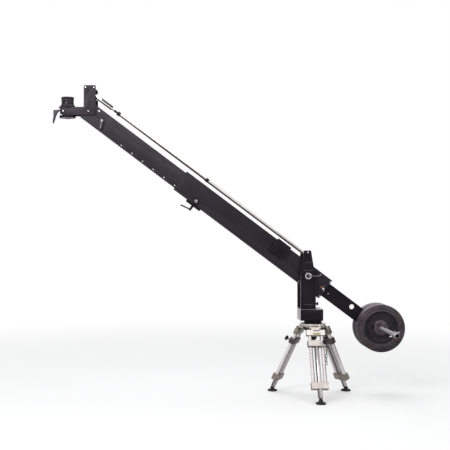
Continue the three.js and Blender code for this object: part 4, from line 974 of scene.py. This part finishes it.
    def make_foot(self, name: str) -> None:
        """Makes a leg's ribbed foot pad in place of its plain solid.

        Args:
            name: the leg's name.
        """
        low, middle, _high = box_of(f"leg_{name}_foot")
        mesh = turned("foot_form", [
            (0.0, 0.0), (0.029, 0.0), (0.031, 0.001), (0.031, 0.0035), (0.0298, 0.0042), (0.031, 0.005),
            (0.031, 0.0075), (0.0285, 0.0105), (0.020, 0.012), (0.0125, 0.0135), (0.0142, 0.0185),
            (0.0138, 0.0225), (0.0115, 0.0285), (0.0075, 0.0325), (0.0, 0.034)])
        stand_in(f"leg_{name}_foot", mesh, f"leg_{name}_foot_pad", RUBBER,
                 Matrix.Translation((middle.x, middle.y, low.z)))

    def build(self) -> None:
        """Makes the whole stand."""
        self.make_bowl()
        for name in LEG_TURNS:
            self.make_leg(name)
        dress("stand_chain", CHAIN, 0.0002, 80.0, 60.0)


@dataclass
class Tower:
    """The base block, the tower plates and what is fixed to them. Places are from the arm's pivot."""

    plate_face: float = 0.0715
    lever_face: float = 0.0959
    axle_face: float = 0.0773
    lever_rod: Pair = (0.0095, 0.0690)
    foot_screws: tuple[Pair, ...] = ((-0.030, -0.195), (0.034, -0.195))
    ledges: tuple[tuple, ...] = (("upper", -0.020, 0.022, 0.0875, 0.0740),
                                 ("middle", -0.029, 0.032, 0.0355, 0.0770),
                                 ("lower", -0.027, 0.031, -0.1800, 0.0770))

    def build(self) -> None:
        """Makes the whole tower."""
        block = dress("base_block", PAINT, 0.0022, 20.0)
        # The block's left and top faces take the machined finish, partly painted light.
        paint_faces(block, BLOCK_MACHINED_AND_LIT, lambda normal, _middle: normal.x < -0.5 or normal.z > 0.3)
        dress("tower_foot", PAINT, 0.0012)
        for node in ("tower_plate_near", "tower_plate_far"):
            plate = dress(node, PAINT, 0.0012)
            # Painted light on the plates' left edges.
            paint_faces(plate, LIT_EDGE, lambda normal, middle: (
                normal.x < -0.5 and abs(normal.y) < 0.6 and abs(middle.y) < self.plate_face + 0.0003))
            # Painted highlight on the plates' faces that look up and left.
            paint_faces(plate, LEDGE_HIGHLIGHT, lambda normal, _middle: normal.x < -0.5 and normal.z > 0.03)
        dress("rear_rod_pin", PAINT, 0.0005)
        self.make_axle()
        self.make_ledges()
        self.make_screws()
        self.make_controls()

    def make_axle(self) -> None:
        """Makes the bright main axle with its dished head and hexagon nut."""
        face = self.axle_face
        dish = ((0.0, 0.0042), (0.0100, 0.0042), (0.0112, 0.0060), (0.0150, 0.0072), (0.0178, 0.0080),
                (0.0192, 0.0076), (0.0200, 0.0064), (0.0200, 0.0), (0.0125, 0.0))
        mesh = turned("axle_form", [*[(radius, -face - height) for radius, height in dish],
                                    (0.0125, face), (0.0178, face, HEX), (0.0178, face + 0.0125, HEX),
                                    (0.0165, face + 0.0140), (0.0, face + 0.0140)])
        stand_in("main_axle", mesh, "main_axle_bright", CHROME, TOWER.place, FAR)

    def make_ledges(self) -> None:
        """Adds pale strips along the raised layers of the near plate: painted highlights on their edges."""
        for name, x0, x1, z, face in self.ledges:
            outline = rounded_box(x0, x1, z - 0.0022, z + 0.0022, 0.0009, 3)
            mesh = slab("ledge_form", outline, -face - 0.0006, -face + 0.0004, 0.0003)
            TOWER.put(mesh, f"tower_ledge_highlight_{name}", "black_metal", LEDGE_HIGHLIGHT)

    def make_screws(self) -> None:
        """Adds the screws of the tower."""
        face = self.plate_face
        TOWER.screw("tower_top_screw", (-0.0020, -face, 0.1495), NEAR, 0.0066, 0.0050)
        TOWER.screw("tower_top_screw_far", (-0.0036, face, 0.135), FAR, 0.0068, 0.005)
        for k, (x, z) in enumerate(self.foot_screws):
            TOWER.screw(f"tower_foot_screw_{k}", (x, -face, z), NEAR, 0.0052, 0.0035, PAINT)
            TOWER.screw(f"tower_foot_screw_far_{k}", (x, face, z), FAR, 0.0052, 0.0035, PAINT)

    def make_controls(self) -> None:
        """Makes the tilt lever and the pan lock knob."""
        lever = dress("tilt_lever", LEVER_GREY, 0.0004)
        start, end = self.lever_rod
        paint_faces(lever, PLASTIC, lambda _normal, middle: not start < middle.x - PIVOT.x < end)
        station = replace(TOWER, body=BODY_OF["tilt_lever"])
        station.screw("tilt_lever_screw", (0.0035, -self.lever_face + 0.0007, 0.0015), NEAR, 0.0030, 0.0016,
                      CHROME)
        low, middle, high = box_of("pan_lock_knob")
        shank = 0.008
        profile = knob_profile(0.0102, high.x - low.x - shank, 0.006, 0.0042, shank)
        mesh = turned("pan_knob_form", profile, 60, 7, 0.14)
        stand_in("pan_lock_knob", mesh, "pan_lock_knob_grip", PLASTIC,
                 Matrix.Translation((low.x, middle.y, middle.z)), REARWARD)


@dataclass
class Arm:
    """The outer and inner arm tubes with their fittings. Places are along the arm: the head towards -X."""

    outer_face: float = 0.0403
    inner_face: float = 0.0300
    inner_wall: float = 0.0040
    tail_half: float = 0.0088
    cap_at: Pair = (0.1130, -0.0045)
    tail_screw_at: Pair = (0.1800, -0.0094)
    nose_screw_at: Pair = (-1.6874, 0.0407)
    shadow_pad_at: Pair = (-1.6165, -0.020)
    shadow_pad_turn: float = math.radians(-24)
    index_count: int = 8
    index_start: float = 0.849
    index_pitch: float = 0.085
    index_drop: float = 0.048
    box_at: Point = (-0.240, 0.0, 0.033)
    box_face: float = 0.0660
    box_screws: tuple[Pair, ...] = ((-0.040, -0.035), (0.040, -0.035), (0.040, 0.035), (-0.040, 0.035))
    rear_screws: tuple[tuple, ...] = (
        (0.0632, 0.0527, 0.0054, BOLT), (0.1392, 0.0558, 0.0050, BOLT), (0.1388, -0.0590, 0.0046, BOLT),
        (0.1290, -0.0055, 0.0060, CHROME), (0.1398, -0.0125, 0.0044, BOLT),
        (0.1222, 0.0135, 0.0038, LEVER_GREY), (-0.0218, -0.0600, 0.0036, BOLT))

    def build(self) -> None:
        """Makes the whole arm."""
        dress("outer_tube", OUTER_SHADED_PAINT, 0.0012)
        dress("inner_tube", ARM_PAINT, 0.0012)
        for node in ("tail_bar", "slide_clamp"):
            dress(node, TAIL_PAINT, 0.001)
        for node in ("pivot_block", "tail_socket", "tube_end_block"):
            dress(node, ALUMINIUM)
        dress("mouth_liner", NYLON, 0.0006)
        self.make_side_box()
        self.make_rear_screws()
        self.make_index_row()
        self.make_plunger()
        self.make_levers()

    def make_side_box(self) -> None:
        """Dresses the side box and adds its lid and screws."""
        dress("side_box", PLASTIC, 0.0018)
        outline = rounded_box(-0.046, 0.046, -0.041, 0.041, 0.004)
        lid = slab("lid_form", outline, -self.box_face, -0.0640, 0.0007)
        OUTER_ARM.put(lid, "side_box_lid", "black_plastic", PAINT, self.box_at)
        for k, (x, z) in enumerate(self.box_screws):
            at = (self.box_at[0] + x, -self.box_face, self.box_at[2] + z)
            OUTER_ARM.screw(f"side_box_screw_{k}", at, NEAR, 0.0026, 0.0012, PAINT)

    def make_rear_screws(self) -> None:
        """Adds the bright screws and the copper cap at the outer tube's rear end."""
        face = -self.outer_face + 0.0003
        for k, (along, rise, radius, finish) in enumerate(self.rear_screws):
            OUTER_ARM.screw(f"arm_rear_screw_{k}", (along, face, rise), NEAR, radius, radius * 0.75, finish)
        cap = turned("cap_form", [
            (0.0, 0.0), (0.0052, 0.0), (0.0052, 0.003), (0.0044, 0.0046), (0.0, 0.0052)], 28)
        x, z = self.cap_at
        OUTER_ARM.put(cap, "arm_copper_cap", "bright_steel", COPPER, (x, face, z), NEAR)
        x, z = self.tail_screw_at
        tail_face = -box_of("tail_bar")[1].y - self.tail_half
        OUTER_ARM.screw("tail_bar_screw", (x, tail_face, z), NEAR, 0.0046, 0.0034)

    def make_index_row(self) -> None:
        """Adds a bright bush and a floor to each index hole, and the end screw of the inner tube."""
        face = -self.inner_face + 0.0003
        for k in range(self.index_count):
            x = -self.index_start - k * self.index_pitch
            bush = turned("bush_form", [(0.0043, 0.0), (0.0062, 0.0), (0.0062, 0.0004), (0.0058, 0.0007),
                                        (0.0049, 0.0007), (0.0043, 0.0003), (0.0043, 0.0)], 28)
            INNER_ARM.put(bush, f"index_bush_{k}", "bright_steel", LEVER_GREY, (x, face, -self.index_drop),
                          NEAR)
            floor = turned("bush_floor_form", [
                (0.0, 0.0), (0.0062, 0.0), (0.0062, 0.0012), (0.0056, 0.0016), (0.0, 0.0016)], 24)
            INNER_ARM.put(floor, f"index_floor_{k}", "bright_steel", CHROME,
                          (x, -self.inner_face + self.inner_wall + 0.0016, -self.index_drop), NEAR)
        x, z = self.nose_screw_at
        INNER_ARM.screw("nose_screw", (x, face, z), NEAR, 0.0058, 0.0016, CHROME)

    def make_plunger(self) -> None:
        """Dresses the index plunger's housing and makes its grooved knob in place of the plain solid."""
        dress("plunger_housing", PAINT, 0.001)
        low, middle, high = box_of("index_plunger")
        reach, depth = high.y - low.y, 0.0180
        mesh = turned("plunger_form", [
            (0.0, 0.0), (0.0036, 0.0), (0.0036, reach - depth), (0.0072, reach - depth),
            (0.0098, reach - depth * 0.9, LOBED), (0.0108, reach - depth * 0.75, LOBED),
            (0.0108, reach - depth * 0.2, LOBED), (0.0096, reach - 0.001), (0.006, reach),
            (0.0, reach)], 64, 16, 0.07)
        station = Station(Matrix.Translation((middle.x, high.y, middle.z)), BODY_OF["index_plunger"])
        stand_in("index_plunger", mesh, "index_plunger_knob", LEVER_STEEL, station.place, NEAR)
        # A dark sheet across the knob's end: the painted shade of a groove.
        outline = rounded_box(-0.0100, 0.0100, -0.0018, 0.0018, 0.0008, 3)
        groove = slab("groove_form", outline, -0.0004, 0.0012, 0.0002)
        station.put(groove, "index_plunger_groove_shade", "dark_steel", GAP_SHADE,
                    (0.0, low.y - high.y + 0.0002, 0.0))

    def make_levers(self) -> None:
        """Makes the slide clamp's lever, the lock lever near the head and a dark pad beside it that is the
        lever's painted shadow.
        """
        dress("slide_clamp_lever", PLASTIC, 0.0005)
        dress("head_lock_lever", LEVER_STEEL, 0.0006)
        # A dark pad on the arm beside the lock lever: the lever's painted shadow.
        pad = slab("shadow_pad_form", rounded_box(-0.008, 0.012, -0.034, 0.030, 0.007), -0.0016, 0.0, 0.0005)
        x, z = self.shadow_pad_at
        own = Matrix.Translation((x, -self.inner_face, z)) @ Matrix.Rotation(self.shadow_pad_turn, 4, "Y")
        replace(INNER_ARM, place=INNER_ARM.place @ own).put(pad, "lock_lever_shadow_pad", "black_metal", PLASTIC)


@dataclass
class Rods:
    """The levelling rods above the arm. Places are along the rods, from the pin in the tower."""

    fork_start: float = -1.5530
    mark_count: int = 7
    mark_start: float = -0.8695
    mark_pitch: float = 0.085
    adjuster_at: float = -1.512
    guide_span: Pair = (-1.6450, -1.5540)
    guide_rails: tuple[Pair, ...] = ((0.0084, 0.0112), (0.0136, 0.0164))

    def build(self) -> None:
        """Makes the rods with their clamp, adjuster and index marks."""
        dress("rear_rod", ROD_STEEL, 0.0006)
        front = dress("front_rod", FRONT_STEEL, 0.0005)
        to_rod = FRONT_ROD.place.inverted()
        # The fork end of the front rod gets less painted shade.
        paint_faces(front, FORK_STEEL, lambda _normal, spot: (to_rod @ spot).x < self.fork_start)
        for k in range(self.mark_count):
            mesh = turned("mark_form", [(0.0086, 0.0), (0.0091, 0.0004), (0.0091, 0.0026), (0.0086, 0.003),
                                        (0.0086, 0.0)], 28)
            FRONT_ROD.put(mesh, f"rod_mark_{k}", "dark_steel", DARK_STEEL,
                          (self.mark_start - k * self.mark_pitch, 0.0, 0.0), REARWARD)
        self.make_guide_bar()
        self.make_adjuster()
        self.make_clamp_knob()

    def make_guide_bar(self) -> None:
        """Adds the slotted guide plate on the near side of the front rod's thick end; its dark rails and pale
        web are painted shade and highlight of a round sleeve.
        """
        # Dark rails: painted shade of a round sleeve's edges.
        for k, (low, high) in enumerate(self.guide_rails):
            outline = rounded_box(*self.guide_span, low, high, 0.0013)
            rail = slab("guide_form", outline, -0.0130, -0.0078, 0.0005)
            FRONT_ROD.put(rail, f"rod_guide_shade_rail_{k}", "dark_steel", PLASTIC)
        # The pale web between the rails: painted highlight.
        outline = rounded_box(-1.6445, -1.5545, 0.0055, 0.0150, 0.0020)
        web = slab("guide_web_form", outline, -0.0112, -0.0062, 0.0004)
        FRONT_ROD.put(web, "rod_guide_highlight_web", "dark_steel", LEVER_GREY)

    def make_adjuster(self) -> None:
        """Makes the knurled adjuster with its locknut in place of its plain solid."""
        mesh = turned("adjuster_form", [
            (0.0054, -0.024), (0.0074, -0.024, HEX), (0.0074, -0.0145, HEX), (0.0066, -0.0135),
            (0.0064, -0.0005), (0.0120, 0.0, LOBED), (0.0134, 0.0016, LOBED), (0.0134, 0.0204, LOBED),
            (0.0120, 0.022, LOBED), (0.0054, 0.022), (0.0054, -0.024)], 96, 16, 0.06)
        place = FRONT_ROD.place @ Matrix.Translation((self.adjuster_at, 0.0, 0.0)) @ facing(REARWARD)
        hand_over(mesh, "rod_adjuster_knurled", place, BODY_OF["rod_adjuster"], PLASTIC,
                  ("rod_adjuster",))

    def make_clamp_knob(self) -> None:
        """Makes the rear rod's clamp knob in place of its plain solid."""
        low, middle, high = box_of("rod_clamp_knob")
        shank = 0.003
        profile = knob_profile(0.0130, high.y - low.y - shank, 0.007, 0.0045, shank)
        mesh = turned("clamp_knob_form", profile, 60, 6, 0.10)
        stand_in("rod_clamp_knob", mesh, "rod_clamp_knob_grip", PLASTIC,
                 Matrix.Translation((middle.x, high.y, middle.z)), NEAR)


@dataclass
class Head:
    """The head bracket and the camera mount. Places are measured from the head pivot."""

    plate_face: float = 0.038
    pin_face: float = 0.0433
    near_screws: tuple[Point, ...] = (
        (-0.1605, 0.0015, 0.0046), (-0.0185, 0.1525, 0.0048), (0.0360, 0.1510, 0.0042))
    far_screws: tuple[Point, ...] = ((-0.160, 0.004, 0.0062), (-0.0185, 0.153, 0.0060))
    crank_at: Pair = (0.0400, 0.1290)
    nut_ring_height: float = 0.0305

    def build(self) -> None:
        """Makes the whole head."""
        dress("head_plate_near", HEAD_PAINT, 0.001)
        far = dress("head_plate_far", HEAD_PAINT, 0.001)
        # Painted shade: the far plate's faces that don't look outward take the plain black paint.
        paint_faces(far, PAINT, lambda normal, _middle: normal.y < 0.5)
        for node, width in (("head_pin", 0.0008), ("front_rod_pin", 0.0005), ("mount_body", 0.001)):
            dress(node, HEAD_PAINT, width)
        self.make_screws()
        self.make_nut()
        disc = dress("mount_disc", PAINT)
        paint_faces(disc, LEVER_GREY, lambda normal, _middle: normal.z < -0.9)
        self.make_side_lever()
        self.make_mount_lever()

    def make_screws(self) -> None:
        """Adds the bright screws of the head plates."""
        for k, (x, z, radius) in enumerate(self.near_screws):
            HEAD.screw(f"head_screw_{k}", (x, -self.plate_face, z), NEAR, radius, radius * 0.7, CHROME)
        for side, letter in BOTH_SIDES:
            HEAD.screw(f"head_pin_screw_{letter}", (0.0, side * self.pin_face, 0.0), (0.0, side, 0.0),
                       0.0058, 0.0016)
        for k, (x, z, radius) in enumerate(self.far_screws):
            HEAD.screw(f"head_screw_far_{k}", (x, self.plate_face, z), FAR, radius, radius * 0.7)

    def make_nut(self) -> None:
        """Makes the large waisted nut of the camera mount in place of its plain solid."""
        low, middle, high = box_of("mount_nut")
        height = high.z - low.z
        mesh = turned("nut_form", [
            (0.018, 0.0), (0.0405, 0.0), (0.0415, 0.001), (0.0415, 0.004, LOBED), (0.0398, 0.008, LOBED),
            (0.0393, 0.014, LOBED), (0.0393, 0.030, LOBED), (0.0400, 0.036, LOBED), (0.0412, 0.0405),
            (0.0415, 0.042), (0.0415, height - 0.0035), (0.0385, height), (0.0245, height),
            (0.0225, height - 0.003), (0.018, height - 0.003), (0.018, 0.0)], 144, 36, 0.012)
        station = Station(Matrix.Translation((middle.x, 0.0, low.z)), BODY_OF["mount_nut"])
        stand_in("mount_nut", mesh, "mount_nut_waisted", NUT_BLACK, station.place)
        ring = turned("nut_ring_form",
                      [(0.0394, 0.0), (0.0402, 0.0006), (0.0402, 0.0022), (0.0394, 0.0028)], 72)
        station.put(ring, "mount_nut_ring", "black_metal", DARK_STEEL, (0.0, 0.0, self.nut_ring_height))

    def make_side_lever(self) -> None:
        """Makes the cranked lever on the far side of the head's mast."""
        x, z = self.crank_at
        hub = turned("side_hub_form",
                     [(0.0, 0.0), (0.0095, 0.0), (0.0095, 0.020), (0.0080, 0.022), (0.0, 0.022)], 32)
        HEAD.put(hub, "head_lever_hub", "black_plastic", PLASTIC, (x, self.plate_face, z), FAR)
        y = self.plate_face + 0.015
        path = [(x, y, z), (x, y, z - 0.020), (x, y, z - 0.044), (x - 0.002, y, z - 0.062)]
        mesh = swept("side_lever_form", path, [0.0040, 0.0042, 0.0044, 0.0050])
        HEAD.put(mesh, "head_side_lever", "black_plastic", PLASTIC)

    def make_mount_lever(self) -> None:
        """Makes the camera mount's curved lever in place of its plain solid."""
        outline = [(0.0147, 0.0851), (0.0495, 0.0860), (0.0510, 0.0840), (0.0510, 0.0775), (0.0400, 0.0715),
                   (0.0290, 0.0520), (0.0192, 0.0210), (0.0125, 0.0008), (0.0085, 0.0004), (0.0042, 0.0010),
                   (0.0058, 0.0178), (0.0105, 0.0530), (0.0085, 0.0722), (0.0095, 0.0812)]
        low, _middle, high = box_of("mount_lever")
        mesh = slab("mount_lever_form", outline, 0.0, high.y - low.y, 0.0026)
        stand_in("mount_lever", mesh, "mount_lever_grip", HANDLE_GREY, Matrix.Translation(low))


@dataclass
class Weights:
    """The weight bar with its plates and clamp collars."""

    recess: float = 0.026
    recess_radii: Pair = (0.0470, 0.1030)
    bore_radius: float = 0.0112

    def build(self) -> None:
        """Makes the bar, the plates and the collars."""
        self.make_bar()
        for side, aim in (("near", NEAR), ("far", FAR)):
            self.make_plate(side, aim)
            dress(f"weight_collar_{side}", COLLAR_CHROME)

    def make_bar(self) -> None:
        """Makes the hollow-ended bar in place of its plain solid."""
        low, middle, high = box_of("weight_bar")
        end, radius = (high.y - low.y) / 2, (high.x - low.x) / 2
        half = [(0.0, end - 0.040), (0.0110, end - 0.038), (0.0110, end - 0.0008), (0.0114, end),
                (radius - 0.0008, end), (radius, end - 0.0010)]
        mesh = turned("weight_bar_form", [*half, *[(r, -h) for r, h in half[::-1]]])
        bar = stand_in("weight_bar", mesh, "weight_bar_hollow", BAR_STEEL, Matrix.Translation(middle), NEAR)
        # Painted shade inside the bar's hollow ends.
        paint_faces(bar, GAP_SHADE, lambda _normal, spot: (
            math.hypot(spot.x - middle.x, spot.z - middle.z) < self.bore_radius and abs(spot.y) > 0.1))

    def make_plate(self, side: str, aim: Point) -> None:
        """Makes a cast plate with its rim, web, ribs and hub in place of its plain solid.

        Args:
            side: near or far.
            aim: the direction of that side.
        """
        node = f"weight_plate_{side}"
        low, middle, high = box_of(node)
        radius, face = (high.x - low.x) / 2, (high.y - low.y) / 2
        deep = face - self.recess
        half = [(0.0148, face - 0.003), (0.0175, face), (0.0425, face), (0.0455, face - 0.003),
                (0.0475, deep + 0.006), (0.0515, deep + 0.001), (0.057, deep), (0.0800, deep),
                (0.0815, deep + 0.0018),
                (0.0850, deep + 0.0018), (0.0865, deep), (0.0960, deep), (0.1010, deep + 0.002),
                (0.1050, deep + 0.011), (0.1068, face - 0.003), (0.1095, face), (0.1130, face),
                (0.1150, face - 0.0022), (0.1185, face - 0.0022), (0.1205, face), (0.1360, face),
                (0.1375, face - 0.0016), (0.1400, face - 0.0016), (0.1415, face),
                (radius - 0.0070, face), (radius - 0.0025, face - 0.0022), (radius, face - 0.0075)]
        back = [(r, -h) for r, h in half[::-1]]
        mesh = turned(f"plate_form_{side}", [*half, (radius, 0.0), *back, half[0]], 120)
        plate = stand_in(node, lift(mesh, 38.0), f"{node}_cast", IRON, Matrix.Translation(middle), aim)
        # Painted shade: the recess between these radii takes the darker iron.
        inner, outer = self.recess_radii
        paint_faces(plate, IRON_RECESS_SHADE, lambda _normal, spot: (
            inner < math.hypot(spot.x - middle.x, spot.z - middle.z) < outer))


# Studio


@dataclass
class Studio:
    """The floor, the light and the camera."""

    lens_px: float = 843.75
    vanish_px: Pair = (164.0, 225.0)
    frame_px: float = 450.0
    sensor_mm: float = 36.0
    camera_from_pan: Point = (-0.9524, -5.4, 1.088)
    floor_rings: tuple[float, ...] = (30.0, 12.0, 6.0, 3.0, 1.5, 0.0)
    floor_sides: int = 64
    lamps: tuple[tuple, ...] = (("key", (-2.3, -3.6, 3.4), (-0.4, 0.0, 1.2), 2.2, 150.0),
                                ("side", (2.6, -3.2, 2.2), (0.5, 0.0, 0.8), 2.0, 30.0),
                                ("top", (0.2, 0.4, 4.2), (0.0, 0.0, 0.8), 2.6, 90.0))

    def build(self) -> None:
        """Makes the whole studio."""
        self.make_camera()
        self.make_floor()
        self.make_surround()
        for lamp in self.lamps:
            self.add_lamp(*lamp)

    def make_camera(self) -> None:
        """Sets the camera at the photograph's place."""
        data = bpy.data.cameras.new("camera")
        data.sensor_width = self.sensor_mm
        data.lens = self.lens_px / self.frame_px * self.sensor_mm
        data.shift_x = 0.5 - self.vanish_px[0] / self.frame_px
        data.shift_y = self.vanish_px[1] / self.frame_px - 0.5
        data.clip_end = 100.0
        camera = add_object("camera", data)
        x, y, z = self.camera_from_pan
        camera.location = (PAN_X + x, y, z)
        camera.rotation_euler = (math.pi / 2, 0.0, 0.0)
        bpy.context.scene.camera = camera

    def make_floor(self) -> None:
        """Makes the pale floor that keeps the crane's shadow."""
        body = bmesh.new()
        turns = [math.tau * i / self.floor_sides for i in range(self.floor_sides)]
        skin(body, [[body.verts.new((radius * math.cos(turn), radius * math.sin(turn), 0.0))
                     for turn in (turns if radius else turns[:1])] for radius in self.floor_rings])
        mesh = closed(body, "floor")
        add_object("floor", mesh)
        sheet = ShaderSheet("studio_floor")
        sheet.feed(sheet.shader, {"Base Color": (0.86, 0.86, 0.86, 1.0), "Roughness": 0.9,
                                  "Specular IOR Level": 0.1})
        length = sheet.add("ShaderNodeVectorMath", {0: sheet.place}, operation="LENGTH")
        share = sheet.fade(length.outputs["Value"], 0.8, 4.5, 0.45, 1.0)
        rays = sheet.add("ShaderNodeLightPath").outputs
        seen = sheet.add("ShaderNodeMath", {0: rays["Is Camera Ray"], 1: rays["Is Glossy Ray"]},
                         operation="MAXIMUM")
        glow = sheet.add("ShaderNodeEmission")
        sheet.show(sheet.add("ShaderNodeMixShader", {
            0: sheet.times(share, seen.outputs[0]), 1: sheet.shader.outputs["BSDF"],
            2: glow.outputs["Emission"]}))
        mesh.materials.append(sheet.material)

    def make_surround(self) -> None:
        """Makes the white surround, whose light on the crane is dimmer than it looks."""
        world = bpy.data.worlds.new("surround")
        bpy.context.scene.world = world
        sheet = NodeSheet(world, "ShaderNodeOutputWorld")
        ambient = sheet.add("ShaderNodeBackground", {"Color": (0.93, 0.95, 1.0, 1.0), "Strength": 0.36})
        white = sheet.add("ShaderNodeBackground", {"Color": (1.0, 1.0, 1.0, 1.0), "Strength": 1.0})
        rays = sheet.add("ShaderNodeLightPath").outputs
        seen = rays["Is Camera Ray"]
        for ray in ("Is Glossy Ray", "Is Transmission Ray"):
            seen = sheet.add("ShaderNodeMath", {0: seen, 1: rays[ray]}, operation="MAXIMUM").outputs[0]
        sheet.show(sheet.add("ShaderNodeMixShader", {0: seen, 1: ambient.outputs[0], 2: white.outputs[0]}))

    def add_lamp(self, name: str, at: Point, aim: Point, size: float, power: float) -> None:
        """Adds a square soft lamp.

        Args:
            name: the lamp's name.
            at: its place.
            aim: the point that it faces.
            size: its side in metres.
            power: its power in watts.
        """
        data = bpy.data.lights.new(name, "AREA")
        data.size = size
        data.energy = power
        lamp = add_object(name, data)
        lamp.location = at
        lamp.rotation_euler = (Vector(aim) - Vector(at)).to_track_quat("-Z", "Y").to_euler()


def main() -> None:
    """Builds the studio and every sub-assembly in order."""
    logging.basicConfig(level=logging.INFO, format="%(name)s: %(message)s")
    bpy.context.scene.view_settings.view_transform = "Standard"
    Studio().build()
    for assembly in (Stand(), Tower(), Arm(), Rods(), Head(), Weights()):
        assembly.build()
        LOG.info("%s is finished", type(assembly).__name__)


if __name__ == "__main__":
    main()
